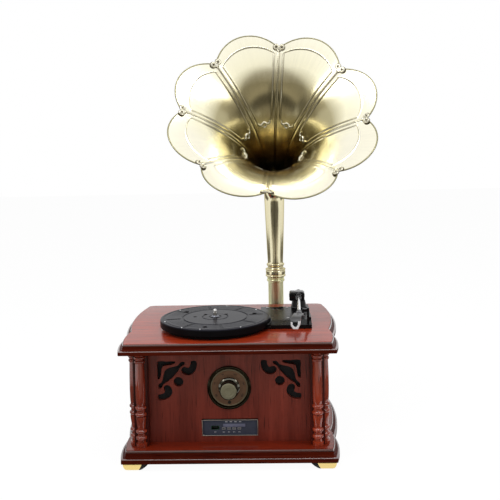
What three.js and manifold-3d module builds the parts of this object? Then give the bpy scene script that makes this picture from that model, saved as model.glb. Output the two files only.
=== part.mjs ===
// A retro record player: a wooden cabinet with turned corner columns, a belt-drive turntable on
// its top, and a petal horn on a brass stem behind it.
// Millimetres, +Z up. The front of the cabinet faces -Y.
import * as THREE from 'three';
import { mergeVertices } from 'three/addons/utils/BufferGeometryUtils.js';
import Module from 'manifold-3d';

// Cabinet
const topWidth = 348;
const topDepth = 304;
const topThickness = 18;
const baseThickness = 21;
const boardLip = 9;
const earLength = 94;
const earBulge = 5;
const cuspReach = 3;
const bowBulge = 11;
const rearReach = 6;
const rearCorner = 14;
const bodyHeight = 165;
const postSize = 24;
const postFrontSetback = 18.5;
const postSideSetback = 10.5;
const columnRadius = 9.8;
const panelThickness = 8;
const frontPanelSetback = 17.5;
const sidePanelSetback = 10;
const backPanelSetback = 3.5;
const footHeight = 12;
const footSize = 44;
const footInset = 2;
const footCorner = 7;
const footChamfer = 3;

// Clearances and the overrun of cutting tools
const fitGap = 0.3;
const runGap = 0.5;
const overrun = 1;

// Grille and speakers
const fretSize = 68;
const fretSideMargin = 15.5;
const fretTopMargin = 22.7;
const clothThickness = 0.5;
const clothMargin = 8;
const clothDrop = 82;
const clothTopMargin = 14;
const clothClearance = 4;
const speakerRadius = 33;
const speakerDepth = 29;
const speakerDrop = 57;

// Dial and tuning knob
const dialHeight = 128.3;
const bezelRadius = 38.2;
const bezelWidth = 5.6;
const bezelDepth = 5;
const faceThickness = 2;
const knobSkirtRadius = 18.7;
const knobSkirtDepth = 3;
const knobRadius = 15.2;
const knobReach = 22;
const knobStep = 1.2;
const knobShaftRadius = 3;

// Control panel, buttons and the board behind them
const controlWidth = 97.8;
const controlHeight = 28.5;
const controlCentre = 57.1;
const controlRim = 1.2;
const controlProud = 0.5;
const controlRecess = 2.5;
const controlPlate = 3;
const controlFlange = 4;
const controlFlangeDepth = 2;
const buttonCount = 4;
const buttonWidth = 6;
const buttonHeight = 3.4;
const buttonPitch = 9.1;
const buttonFirst = -11.3;
const buttonHeightAt = 55;
const buttonProud = 1;
const buttonFlange = 1;
const buttonStemRadius = 1.2;
const buttonStemLength = 2.8;
const usbWidth = 14;
const usbHeight = 6.5;
const usbWall = 0.8;
const usbDepth = 9;
const usbX = -26;
const usbZ = 56.4;
const usbTongue = 1.4;
const boardSheet = 1.6;
const boardHalfWidth = 48;
const boardBottomZ = 38;
const boardTopZ = 150;
const boardSetback = 5;
const standoffRadius = 3;
const standoffUpperX = 30;
const standoffUpperZ = 144;
const standoffLowerX = 44;
const standoffLowerZ = 88;
const tactSize = 6;
const tactHeight = 1.9;
const tunerSize = 20;
const tunerDepth = 1.6;

// Deck and platter
const platterX = -27.5;
const platterY = -39;
const platterRadius = 100;
const platterTopRise = 19.5;
const platterSkirtRise = 6.5;
const platterDisc = 3;
const platterWall = 3;
const drumRadius = 64;
const drumWall = 3;
const drumHeight = 9;
const spindleRadius = 3.6;
const spindleRise = 14;
const spindleTaper = 3;
const bearingRadius = 8;
const bearingDrop = 12;
const bearingFlange = 3;
const deckLeft = 55;
const deckRight = 148;
const deckFront = -61;
const deckBack = 70;
const deckRise = 12;
const deckFrontRise = 7;
const deckSlope = 22;
const deckSheet = 3;
const deckDiscRadius = 90;
const deckRecessGap = 3;
const ridgeWidth = 3.6;
const ridgeRise = 4;
const motorDistance = 82;
const motorAngle = 155;
const motorRadius = 17.5;
const motorHeight = 25;
const motorShaftRadius = 1.2;
const motorHoleGap = 1.5;
const pulleyRadius = 4;
const pulleyFlange = 1.2;
const pulleyHeight = 7;
const pulleyRise = 7;
const beltThickness = 1;
const beltHeight = 4;

// Tonearm, pointing at the front in its resting place
const armX = 129;
const armY = 51;
const armRise = 38;
const armTurn = 2;
const armRingRadius = 15;
const armRingHeight = 5;
const armBushRadius = 10;
const armBushDrop = 14;
const armPostRise = 29;
const yokeWidth = 33;
const yokeDepth = 24;
const yokeTopRise = 45.5;
const yokeChamfer = 4;
const yokeFloor = 2;
const yokeShaftRadius = 4;
const yokeShaftLength = 16;
const armTubeRadius = 3.5;
const armTubeLength = 148;
const armFerruleRadius = 4.5;
const armFerruleLength = 12;
const armStubRadius = 3;
const armStubLength = 37;
const armHubRadius = 4.5;
const armPinRadius = 1.5;
const armPinReach = 3;
const weightRadius = 9;
const weightStart = 21;
const weightLength = 14;
const weightGroove = 0.8;
const headTurn = 11;
const headLength = 36;
const headWidth = 17;
const headSheet = 2.5;
const headNeckRadius = 3;
const cartridgeWidth = 13;
const cartridgeLength = 24;
const cartridgeDepth = 9;
const stylusAlong = 31;
const guardWidth = 12;
const guardLength = 17;
const guardTipLength = 7;
const guardBottomRise = 20.4;
const restY = -50;
const restAngle = 3.8;
const restThickness = 4;
const restDepth = 8;
const restLip = 8;
const restHook = 5;
const leverX = 139.5;
const leverY = 30;
const leverLength = 24;
const leverThickness = 3;
const leverHeight = 4;
const leverTail = 4;
const leverSink = 2;
const leverKnobRadius = 3;
const switchX = 95;
const switchY = 57;
const switchLength = 8;
const switchWidth = 5;
const switchRise = 3;
const switchStem = 2.4;
const switchTravel = 16;

// Horn
const hornSideMargin = 53.5;
const stemRadius = 15.8;
const stemWall = 1.5;
const stemGap = 2.2;
const stemBottomZ = 156;
const stemRingZ = 260;
const stemRingRadius = 18.7;
const collarZ = 270.5;
const collarRadius = 21.2;
const collarHeight = 17;
const neckRingRadius = 18.7;
const neckRingHeight = 10.5;
const neckFootRadius = 16.1;
const neckStraightTopZ = 430.2;
const neckTopRadius = 20.9;
const neckThroatRadius = 23.4;
const neckWall = 1.6;
const spigotLength = 34;
const elbowRadius = 62.2;
const hornElevation = 36.5;
const bellLength = 205;
const throatRadius = 22;
const clipRingRadius = 169;
const petalSagitta = 42;
const petalForward = 13;
const petalTurn = -4.73;
const bellWall = 1.6;
const clipWidth = 17;
const clipLength = 12;
const clipThickness = 3;
const clipCorner = 4;
const bracketSocketRadius = 20;
const bracketSocketHeight = 30;
const bracketFloor = 4;
const bracketArmRadius = 11;
const bracketFlangeRadius = 28;
const bracketFlangeThickness = 6;

// Connections on the back
const jackSideMargin = 17.5;
const jackZ = 76;
const jackWidth = 64;
const jackHeight = 30;
const jackSheet = 2.5;
const jackBody = 8;
const jackBodyMargin = 5;
const jackPitch = 17;
const phonoRadius = 4.2;
const phonoLength = 8;
const phonoHoleRadius = 1.8;
const inletRadius = 5.5;
const inletLength = 4;
const inletBore = 3.2;
const inletDepth = 9;
const inletPin = 1;

// Steps on round stretches
const petalCount = 8;
const petalSteps = 8;
const bellRings = 9;
const bellFlare = 1.13;
const petalFade = 6.4;
const fineSteps = 36;
const roundSteps = 20;
const smallSteps = 12;
const curveSteps = 5;
const halfSteps = 6;

// Shares that outlines follow, chosen by hand
const boardProfileShares = [[1, 0.06], [0.96, 0], [0.62, 0], [0.56, 0.1], [0.53, 0.45], [0.45, 0.7],
  [0.28, 0.8], [0.09, 0.84], [0, 1]];
const columnProfileShares = [[0, 0.96], [0.03, 0.98], [0.042, 0.73], [0.067, 0.7], [0.095, 0.98],
  [0.121, 0.68], [0.139, 0.68], [0.164, 0.98], [0.188, 0.64], [0.309, 0.89], [0.321, 0.72],
  [0.343, 0.99], [0.367, 0.73], [0.39, 0.73], [0.413, 0.99], [0.436, 0.8], [0.582, 0.87],
  [0.733, 0.85], [0.873, 0.77], [0.897, 0.95], [0.914, 0.81], [0.939, 1], [0.964, 0.86], [1, 0.98]];
const fretCornerShares = [[0, 0], [0.24, 0], [0.46, 0], [0.44, 0.06], [0.28, 0.1], [0.13, 0.13],
  [0.1, 0.28], [0.06, 0.44], [0, 0.46], [0, 0.24]];
const fretLeafShares = [[0.7, 0.02], [0.6, 0.02], [0.53, 0.1], [0.4, 0.14], [0.26, 0.18],
  [0.18, 0.26], [0.14, 0.4], [0.1, 0.53], [0.02, 0.6], [0.02, 0.7], [0.09, 0.69], [0.14, 0.6],
  [0.25, 0.53], [0.36, 0.44], [0.44, 0.36], [0.53, 0.25], [0.6, 0.14], [0.69, 0.09]];
const fretCommaShares = [[0.86, 0], [1, 0], [1, 0.16], [0.95, 0.27], [0.84, 0.36], [0.72, 0.36],
  [0.63, 0.3], [0.61, 0.21], [0.66, 0.15], [0.73, 0.15], [0.79, 0.17], [0.83, 0.13],
  [0.85, 0.06]];
const fretHoleCentreShare = 0.53;
const fretHoleRadiusShare = 0.125;
const speakerProfileShares = [[0, 0.2], [0.27, 0.28], [0.8, 0.08], [0.88, 0], [1, 0], [1, 0.1],
  [0.91, 0.14], [0.58, 0.59], [0.58, 0.65], [0.67, 0.65], [0.67, 1], [0, 1]];

// Places that follow from the sizes
const bodyBottom = footHeight + baseThickness;
const bodyTop = bodyBottom + bodyHeight;
const topSurface = bodyTop + topThickness;
const postOuterX = topWidth / 2 - postSideSetback;
const postInnerX = postOuterX - postSize;
const postFrontY = -topDepth / 2 + postFrontSetback;
const postRearY = -postFrontY;
const boardEdgeY = topDepth / 2 + boardLip;
const sideInnerX = postOuterX - sidePanelSetback - panelThickness;
const speakerX = (boardHalfWidth + sideInnerX) / 2;
const hornX = postInnerX - hornSideMargin;
const jackX = jackSideMargin + jackWidth / 2 - postInnerX;
const frontFaceY = postFrontY + frontPanelSetback;
const frontBackY = frontFaceY + panelThickness;
const backFaceY = postRearY - backPanelSetback;
const clothY = frontBackY + fitGap;
const faceFrontY = frontFaceY - faceThickness;
const plateFrontY = frontFaceY + controlRecess;
const plateBackY = plateFrontY + controlPlate;
const boardFrontY = frontBackY + boardSetback;
const platterTop = topSurface + platterTopRise;
const platterUnder = platterTop - platterDisc;
const platterSkirt = topSurface + platterSkirtRise;
const deckTop = topSurface + deckRise;
const deckSheetTop = topSurface + deckSheet;
const motorX = platterX + motorDistance * Math.cos(THREE.MathUtils.degToRad(motorAngle));
const motorY = platterY + motorDistance * Math.sin(THREE.MathUtils.degToRad(motorAngle));
const armAxisZ = topSurface + armRise;
const armPostTop = topSurface + armPostRise;
const stemY = boardEdgeY + stemGap + stemRadius;

const wasm = await Module();
wasm.setup();

// Solids: one closed surface with its faces out, and cuts and joins of such surfaces
function signedVolume(positions, corners) {
  const [a, b, c] = [new THREE.Vector3(), new THREE.Vector3(), new THREE.Vector3()];
  let sum = 0;
  for (let i = 0; i < corners.length; i += 3) {
    a.fromBufferAttribute(positions, corners[i]);
    b.fromBufferAttribute(positions, corners[i + 1]);
    c.fromBufferAttribute(positions, corners[i + 2]);
    sum += a.dot(b.cross(c));
  }
  return sum;
}

function closed(geometry) {
  const bare = geometry.clone();
  bare.deleteAttribute('normal');
  bare.deleteAttribute('uv');
  const merged = mergeVertices(bare);
  const source = merged.index.array;
  const corners = [];
  for (let i = 0; i < source.length; i += 3) {
    const [a, b, c] = [source[i], source[i + 1], source[i + 2]];
    if (a !== b && b !== c && c !== a) {
      corners.push(a, b, c);
    }
  }
  if (signedVolume(merged.attributes.position, corners) < 0) {
    corners.reverse();
  }
  merged.setIndex(corners);
  return merged;
}

function toSolid(geometry) {
  const surface = closed(geometry);
  return new wasm.Manifold(new wasm.Mesh({
    numProp: 3,
    vertProperties: new Float32Array(surface.attributes.position.array),
    triVerts: new Uint32Array(surface.index.array),
  }));
}

function toGeometry(solid) {
  const mesh = solid.getMesh();
  const geometry = new THREE.BufferGeometry();
  geometry.setAttribute('position', new THREE.BufferAttribute(mesh.vertProperties, 3));
  geometry.setIndex(new THREE.BufferAttribute(mesh.triVerts, 1));
  return geometry;
}

function cut(base, ...tools) {
  return toGeometry(tools.reduce((solid, tool) => solid.subtract(toSolid(tool)), toSolid(base)));
}

function join(base, ...others) {
  return toGeometry(others.reduce((solid, other) => solid.add(toSolid(other)), toSolid(base)));
}

// Simple shapes
function block(x0, x1, y0, y1, z0, z1) {
  const geometry = new THREE.BoxGeometry(x1 - x0, y1 - y0, z1 - z0);
  return geometry.translate((x0 + x1) / 2, (y0 + y1) / 2, (z0 + z1) / 2);
}

function pillar(radius, z0, z1, x = 0, y = 0, steps = roundSteps) {
  const geometry = new THREE.CylinderGeometry(radius, radius, z1 - z0, steps);
  return geometry.rotateX(Math.PI / 2).translate(x, y, (z0 + z1) / 2);
}

function rodAlongY(radius, y0, y1, x = 0, z = 0, steps = roundSteps) {
  const geometry = new THREE.CylinderGeometry(radius, radius, y1 - y0, steps);
  return geometry.translate(x, (y0 + y1) / 2, z);
}

function rodAlongX(radius, x0, x1, y = 0, z = 0, steps = smallSteps) {
  const geometry = new THREE.CylinderGeometry(radius, radius, x1 - x0, steps);
  return geometry.rotateZ(Math.PI / 2).translate((x0 + x1) / 2, y, z);
}

// A profile of [radius, height] points turned about the Z axis
function turned(profile, steps = roundSteps) {
  const points = profile.map(([radius, height]) => new THREE.Vector2(radius, height));
  return new THREE.LatheGeometry(points, steps).rotateX(Math.PI / 2);
}

function turnedRing(profile, steps = roundSteps) {
  return turned([...profile, profile[0]], steps);
}

// Turns a piece that was made upright about Z so that its height runs towards the front
function facingFront(geometry, x, y, z) {
  return geometry.rotateX(Math.PI / 2).translate(x, y, z);
}

// An outline in x and z, as thick as asked, with its front face at frontY
function upright(shape, thickness, frontY) {
  const geometry = new THREE.ExtrudeGeometry(shape, { depth: thickness, bevelEnabled: false });
  return geometry.rotateX(Math.PI / 2).translate(0, frontY + thickness, 0);
}

function rectangle(x0, x1, y0, y1) {
  const shape = new THREE.Shape();
  shape.moveTo(x0, y0);
  shape.lineTo(x1, y0);
  shape.lineTo(x1, y1);
  shape.lineTo(x0, y1);
  shape.closePath();
  return shape;
}

function roundedOutline(halfWidth, halfDepth, corner, steps) {
  const shape = new THREE.Shape();
  shape.absarc(halfWidth - corner, halfDepth - corner, corner, 0, Math.PI / 2);
  shape.absarc(corner - halfWidth, halfDepth - corner, corner, Math.PI / 2, Math.PI);
  shape.absarc(corner - halfWidth, corner - halfDepth, corner, Math.PI, Math.PI * 1.5);
  shape.absarc(halfWidth - corner, corner - halfDepth, corner, Math.PI * 1.5, Math.PI * 2);
  return shape.getPoints(steps);
}

// Rings of points joined one to the next: open ends are capped, or the last ring meets the first
function throughRings(rings, loop) {
  const count = rings[0].length;
  const positions = rings.flat().flatMap((point) => [point.x, point.y, point.z]);
  const corners = [];
  const spans = loop ? rings.length : rings.length - 1;
  for (let level = 0; level < spans; level += 1) {
    const low = level * count;
    const high = ((level + 1) % rings.length) * count;
    for (let i = 0; i < count; i += 1) {
      const next = (i + 1) % count;
      corners.push(low + i, low + next, high + next, low + i, high + next, high + i);
    }
  }
  if (!loop) {
    const top = (rings.length - 1) * count;
    const cap = THREE.ShapeUtils.triangulateShape(rings[0], []);
    for (const [a, b, c] of cap) {
      corners.push(c, b, a, top + a, top + b, top + c);
    }
  }
  const geometry = new THREE.BufferGeometry();
  geometry.setAttribute('position', new THREE.Float32BufferAttribute(positions, 3));
  geometry.setIndex(corners);
  return closed(geometry);
}

function ringAt(points, z, scaleX, scaleY) {
  return points.map((point) => new THREE.Vector3(point.x * scaleX, point.y * scaleY, z));
}

// The model: a group of named pieces, each with a material of its own
const cabinetGroup = new THREE.Group();
const hornGroup = new THREE.Group();
const finishes = {
  mahogany: { color: 0x5e1a10, roughness: 0.25, metalness: 0 },
  darkMahogany: { color: 0x451410, roughness: 0.3, metalness: 0 },
  brass: { color: 0xc8ab63, roughness: 0.3, metalness: 1 },
  yellowBrass: { color: 0xe0c367, roughness: 0.25, metalness: 1 },
  bronze: { color: 0x6f5a3a, roughness: 0.4, metalness: 1 },
  blackPlastic: { color: 0x131315, roughness: 0.35, metalness: 0 },
  greyPlastic: { color: 0x4b4b50, roughness: 0.4, metalness: 0 },
  whitePlastic: { color: 0xf2f0ee, roughness: 0.4, metalness: 0 },
  slatePlastic: { color: 0x33363f, roughness: 0.35, metalness: 0 },
  cloth: { color: 0x0c0b0b, roughness: 0.95, metalness: 0 },
  chrome: { color: 0xc9ccd0, roughness: 0.15, metalness: 1 },
  steel: { color: 0x9a9da1, roughness: 0.4, metalness: 1 },
  rubber: { color: 0x161616, roughness: 0.9, metalness: 0 },
  circuit: { color: 0x1d5a34, roughness: 0.6, metalness: 0 },
};

function add(name, geometry, finish, parent = cabinetGroup) {
  const mesh = new THREE.Mesh(closed(geometry), new THREE.MeshStandardMaterial(finishes[finish]));
  mesh.name = name;
  parent.add(mesh);
  return mesh;
}

// Cabinet boards with a stepped edge and serpentine sides
function boardOutline() {
  const halfWidth = topWidth / 2 + boardLip;
  const cuspX = halfWidth + cuspReach;
  const cuspY = earLength - boardEdgeY;
  const rearX = halfWidth + rearReach;
  const bowEndY = boardEdgeY - rearCorner;
  const earX = (halfWidth + cuspX) / 2 + earBulge * 2;
  const earY = (cuspY - boardEdgeY) / 2;
  const bowX = (cuspX + rearX) / 2 + bowBulge * 2;
  const bowY = (cuspY + bowEndY) / 2;
  const shape = new THREE.Shape();
  shape.moveTo(halfWidth, -boardEdgeY);
  shape.quadraticCurveTo(earX, earY, cuspX, cuspY);
  shape.quadraticCurveTo(bowX, bowY, rearX, bowEndY);
  shape.quadraticCurveTo(rearX, boardEdgeY, rearX - rearCorner, boardEdgeY);
  shape.lineTo(rearCorner - rearX, boardEdgeY);
  shape.quadraticCurveTo(-rearX, boardEdgeY, -rearX, bowEndY);
  shape.quadraticCurveTo(-bowX, bowY, -cuspX, cuspY);
  shape.quadraticCurveTo(-earX, earY, -halfWidth, -boardEdgeY);
  return shape.getPoints(curveSteps);
}

function mouldedBoard(bottomZ, thickness) {
  const outline = boardOutline();
  const halfWidth = topWidth / 2 + boardLip;
  const rings = boardProfileShares.map(([dropShare, insetShare]) => {
    const inset = boardLip * insetShare;
    const z = bottomZ + thickness * (1 - dropShare);
    return ringAt(outline, z, 1 - inset / halfWidth, 1 - inset / boardEdgeY);
  });
  return throughRings(rings, false);
}

function addBoards() {
  add('base_board', mouldedBoard(footHeight, baseThickness), 'mahogany');
  const [low, high] = [bodyTop - overrun, topSurface + overrun];
  const holes = [
    pillar(motorRadius + motorHoleGap, low, high, motorX, motorY),
    pillar(bearingRadius + motorHoleGap, low, high, platterX, platterY),
    pillar(armBushRadius + motorHoleGap, low, high, armX, armY),
    block(switchX - switchTravel - switchLength, switchX + switchLength, switchY - switchWidth,
      switchY + switchWidth, low, high),
    block(leverX - leverThickness, leverX + leverThickness, leverY - leverLength,
      leverY + leverThickness * 2, low, high),
  ];
  add('top_board', cut(mouldedBoard(bodyTop, topThickness), ...holes), 'mahogany');
}

// Feet under the corners of the base
function addFeet() {
  const outline = roundedOutline(footSize / 2, footSize / 2, footCorner, halfSteps / 2);
  const narrow = 1 - (footChamfer * 2) / footSize;
  const rings = [ringAt(outline, 0, narrow, narrow), ringAt(outline, footChamfer, 1, 1),
    ringAt(outline, footHeight, 1, 1)];
  const x = topWidth / 2 + boardLip - footInset - footSize / 2;
  const y = boardEdgeY - footInset - footSize / 2;
  for (const [end, signY] of [['front', -1], ['rear', 1]]) {
    for (const [side, signX] of [['left', -1], ['right', 1]]) {
      const foot = add(`foot_${end}_${side}`, throughRings(rings, false), 'yellowBrass');
      foot.position.set(signX * x, signY * y, 0);
    }
  }
}

// Corner posts, with half-round turned columns on their outer faces
function halfColumn() {
  const half = [];
  for (let i = 0; i <= halfSteps; i += 1) {
    const angle = Math.PI * (1 + i / halfSteps);
    half.push(new THREE.Vector2(Math.cos(angle), Math.sin(angle)));
  }
  half[0].y = 0;
  half[halfSteps].y = 0;
  const rings = columnProfileShares.map(([heightShare, radiusShare]) => {
    const radius = columnRadius * radiusShare;
    return ringAt(half, bodyBottom + bodyHeight * heightShare, radius, radius);
  });
  return throughRings(rings, false);
}

function addPostsAndColumns() {
  const post = block(-postSize / 2, postSize / 2, -postSize / 2, postSize / 2, bodyBottom, bodyTop);
  const postX = postOuterX - postSize / 2;
  const postY = postRearY - postSize / 2;
  for (const [end, signY] of [['front', -1], ['rear', 1]]) {
    for (const [side, signX] of [['left', -1], ['right', 1]]) {
      add(`corner_post_${end}_${side}`, post, 'darkMahogany').position.set(signX * postX, signY * postY, 0);
      const beside = add(`side_column_${end}_${side}`, halfColumn(), 'mahogany');
      beside.position.set(signX * postOuterX, signY * postY, 0);
      beside.rotation.z = signX * (Math.PI / 2);
    }
  }
  for (const [side, signX] of [['left', -1], ['right', 1]]) {
    add(`front_column_${side}`, halfColumn(), 'mahogany').position.set(signX * postX, postFrontY, 0);
  }
}

// The front panel, with its pierced scroll corners
function scroll(shares, signX, swap) {
  const cornerX = postInnerX - fretSideMargin;
  const cornerZ = bodyTop - fretTopMargin;
  const points = shares.map(([across, down]) => {
    const [u, v] = swap ? [down, across] : [across, down];
    return new THREE.Vector3(signX * (cornerX - u * fretSize), cornerZ - v * fretSize, 0);
  });
  const curve = new THREE.CatmullRomCurve3(points, true, 'centripetal');
  const path = new THREE.Path();
  path.setFromPoints(curve.getPoints(points.length * 2).slice(0, -1));
  return path;
}

function fretHoles(signX) {
  const centre = fretHoleCentreShare * fretSize;
  const hole = new THREE.Path();
  hole.absarc(signX * (postInnerX - fretSideMargin - centre), bodyTop - fretTopMargin - centre,
    fretHoleRadiusShare * fretSize, 0, Math.PI * 2);
  return [scroll(fretCornerShares, signX, false), scroll(fretLeafShares, signX, false),
    scroll(fretCommaShares, signX, false), scroll(fretCommaShares, signX, true),
    new THREE.Path(hole.getPoints(smallSteps))];
}

function addFrontPanel() {
  const shape = rectangle(-postInnerX, postInnerX, bodyBottom, bodyTop);
  shape.holes.push(...fretHoles(-1), ...fretHoles(1));
  const shaft = new THREE.Path();
  shaft.absarc(0, dialHeight, knobShaftRadius + runGap, 0, Math.PI * 2);
  shape.holes.push(new THREE.Path(shaft.getPoints(smallSteps)));
  shape.holes.push(rectangle(-controlWidth / 2, controlWidth / 2, controlCentre - controlHeight / 2,
    controlCentre + controlHeight / 2));
  add('front_panel', upright(shape, panelThickness, frontFaceY), 'mahogany');
}

function addSideAndBackPanels() {
  const reach = postRearY - postSize;
  for (const [side, signX] of [['left', -1], ['right', 1]]) {
    const panel = block(-panelThickness / 2, panelThickness / 2, -reach, reach, bodyBottom, bodyTop);
    add(`${side}_side_panel`, panel, 'mahogany').position.x = signX * (sideInnerX + panelThickness / 2);
  }
  const back = block(-postInnerX, postInnerX, backFaceY - panelThickness, backFaceY, bodyBottom, bodyTop);
  const opening = block(jackX - jackWidth / 2 + jackBodyMargin - fitGap,
    jackX + jackWidth / 2 - jackBodyMargin + fitGap, backFaceY - panelThickness - overrun,
    backFaceY + overrun, jackZ - jackHeight / 2 + jackBodyMargin - fitGap,
    jackZ + jackHeight / 2 - jackBodyMargin + fitGap);
  add('back_panel', cut(back, opening), 'darkMahogany');
}

// Black cloth behind the scrolls, cut out round the board's supports and the knob's shaft, and a
// speaker on each side of the board
function addGrilleAndSpeakers() {
  const halfWidth = postInnerX - clothMargin;
  const top = bodyTop - clothTopMargin;
  const bottom = top - clothDrop;
  const notchX = standoffUpperX + standoffRadius + clothClearance;
  const notchTop = standoffUpperZ + standoffRadius + clothClearance;
  const [front, back] = [clothY - overrun, clothY + clothThickness + overrun];
  const cloth = cut(block(-halfWidth, halfWidth, clothY, clothY + clothThickness, bottom, top),
    block(-notchX, notchX, front, back, bottom - overrun, notchTop),
    rodAlongY(knobShaftRadius + clothClearance, front, back, 0, dialHeight));
  add('grille_cloth', cloth, 'cloth');
  const profile = speakerProfileShares.map(([radiusShare, depthShare]) => [
    radiusShare * speakerRadius, -depthShare * speakerDepth]);
  for (const [side, signX] of [['left', -1], ['right', 1]]) {
    const speaker = facingFront(turned(profile, roundSteps), signX * speakerX,
      clothY + clothThickness + fitGap, bodyTop - speakerDrop);
    add(`${side}_speaker`, speaker, 'blackPlastic');
  }
}

// The round dial with its knob
function addDial() {
  const inner = bezelRadius - bezelWidth;
  const bezel = turnedRing([[bezelRadius, 0], [bezelRadius, bezelDepth / 2],
    [bezelRadius - bezelWidth / 3, bezelDepth], [inner + bezelWidth / 3, bezelDepth],
    [inner, bezelDepth / 2], [inner, 0]], fineSteps);
  add('dial_bezel', facingFront(bezel, 0, frontFaceY, dialHeight), 'bronze');
  const face = cut(rodAlongY(inner - fitGap, faceFrontY, frontFaceY, 0, dialHeight, fineSteps),
    rodAlongY(knobShaftRadius + runGap, faceFrontY - overrun, frontFaceY + overrun, 0, dialHeight,
      smallSteps));
  add('dial_face', face, 'bronze');
  const skirtBack = faceFrontY - runGap;
  const skirtFront = skirtBack - knobSkirtDepth;
  const knobFront = frontFaceY - knobReach;
  const shaftEnd = boardFrontY - tunerDepth - runGap;
  const knob = facingFront(turned([[0, -shaftEnd], [knobShaftRadius, -shaftEnd],
    [knobShaftRadius, -skirtBack], [knobSkirtRadius, -skirtBack], [knobSkirtRadius, -skirtFront],
    [knobRadius, -skirtFront - knobStep], [knobRadius, -knobFront - knobStep],
    [knobRadius - knobStep, -knobFront], [0, -knobFront]], fineSteps), 0, 0, dialHeight);
  add('tuning_knob', knob, 'brass');
}

// The control panel is a shallow tray through the front panel, held by a flange behind it
function addControlPanel() {
  const halfWidth = controlWidth / 2 - fitGap;
  const halfHeight = controlHeight / 2 - fitGap;
  const flangeFront = frontBackY + fitGap;
  const flangeBack = flangeFront + controlFlangeDepth;
  const [low, high] = [controlCentre - halfHeight, controlCentre + halfHeight];
  const frontY = frontFaceY - controlProud;
  const tray = join(block(-halfWidth, halfWidth, frontY, flangeBack, low, high),
    block(-halfWidth - controlFlange, halfWidth + controlFlange, flangeFront, flangeBack,
      low - controlFlange, high + controlFlange));
  const cuts = [
    block(controlRim - halfWidth, halfWidth - controlRim, frontY - overrun, plateFrontY,
      low + controlRim, high - controlRim),
    block(controlFlange - halfWidth, halfWidth - controlFlange, plateBackY, flangeBack + overrun,
      low + controlRim * 2, high - controlRim * 2),
    block(usbX - usbWidth / 2 - fitGap, usbX + usbWidth / 2 + fitGap, plateFrontY - overrun,
      plateBackY + overrun, usbZ - usbHeight / 2 - fitGap, usbZ + usbHeight / 2 + fitGap),
  ];
  for (let i = 0; i < buttonCount; i += 1) {
    const x = buttonFirst + buttonPitch * i;
    cuts.push(block(x - buttonWidth / 2 - fitGap, x + buttonWidth / 2 + fitGap, plateFrontY - overrun,
      plateBackY + overrun, buttonHeightAt - buttonHeight / 2 - fitGap,
      buttonHeightAt + buttonHeight / 2 + fitGap));
  }
  add('control_panel', cut(tray, ...cuts), 'slatePlastic');
}

function addButtons() {
  const [halfWidth, halfHeight] = [buttonWidth / 2, buttonHeight / 2];
  const flangeFront = plateBackY + fitGap;
  const flangeBack = flangeFront + buttonFlange;
  const cap = block(-halfWidth, halfWidth, plateFrontY - buttonProud, flangeBack, -halfHeight, halfHeight);
  const flange = block(-halfWidth - buttonFlange, halfWidth + buttonFlange, flangeFront, flangeBack,
    -halfHeight - buttonFlange, halfHeight + buttonFlange);
  const stem = rodAlongY(buttonStemRadius, flangeFront, flangeBack + buttonStemLength, 0, 0, smallSteps);
  for (let i = 0; i < buttonCount; i += 1) {
    const button = add(`button_${i + 1}`, join(cap, flange, stem), 'greyPlastic');
    button.position.set(buttonFirst + buttonPitch * i, 0, buttonHeightAt);
  }
}

// The circuit board behind the panel carries the USB socket, the key switches and the tuner
function addMainBoard() {
  const plateY = boardFrontY;
  const board = block(-boardHalfWidth, boardHalfWidth, plateY, plateY + boardSheet, boardBottomZ,
    boardTopZ);
  const inside = plateY + boardSheet / 2;
  const parts = [];
  for (const signX of [-1, 1]) {
    parts.push(rodAlongY(standoffRadius, frontBackY + fitGap, inside, signX * standoffUpperX,
      standoffUpperZ, smallSteps));
    parts.push(rodAlongY(standoffRadius, frontBackY + fitGap, inside, signX * standoffLowerX,
      standoffLowerZ, smallSteps));
  }
  for (let i = 0; i < buttonCount; i += 1) {
    const x = buttonFirst + buttonPitch * i;
    parts.push(block(x - tactSize / 2, x + tactSize / 2, plateY - tactHeight, inside,
      buttonHeightAt - tactSize / 2, buttonHeightAt + tactSize / 2));
  }
  parts.push(block(-tunerSize / 2, tunerSize / 2, plateY - tunerDepth, inside,
    dialHeight - tunerSize / 2, dialHeight + tunerSize / 2));
  parts.push(block(usbX - usbWidth / 2, usbX + usbWidth / 2, plateFrontY, inside,
    usbZ - usbHeight / 2, usbZ + usbHeight / 2));
  const [bayX, bayZ] = [usbWidth / 2 - usbWall, usbHeight / 2 - usbWall];
  const bay = cut(block(usbX - bayX, usbX + bayX, plateFrontY - overrun, plateFrontY + usbDepth,
    usbZ - bayZ, usbZ + bayZ), block(usbX - bayX, usbX + bayX, plateFrontY + usbDepth - usbTongue,
    plateFrontY + usbDepth + overrun, usbZ - usbTongue / 2, usbZ + usbTongue / 2));
  add('main_board', cut(join(board, ...parts), bay), 'circuit');
}

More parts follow.
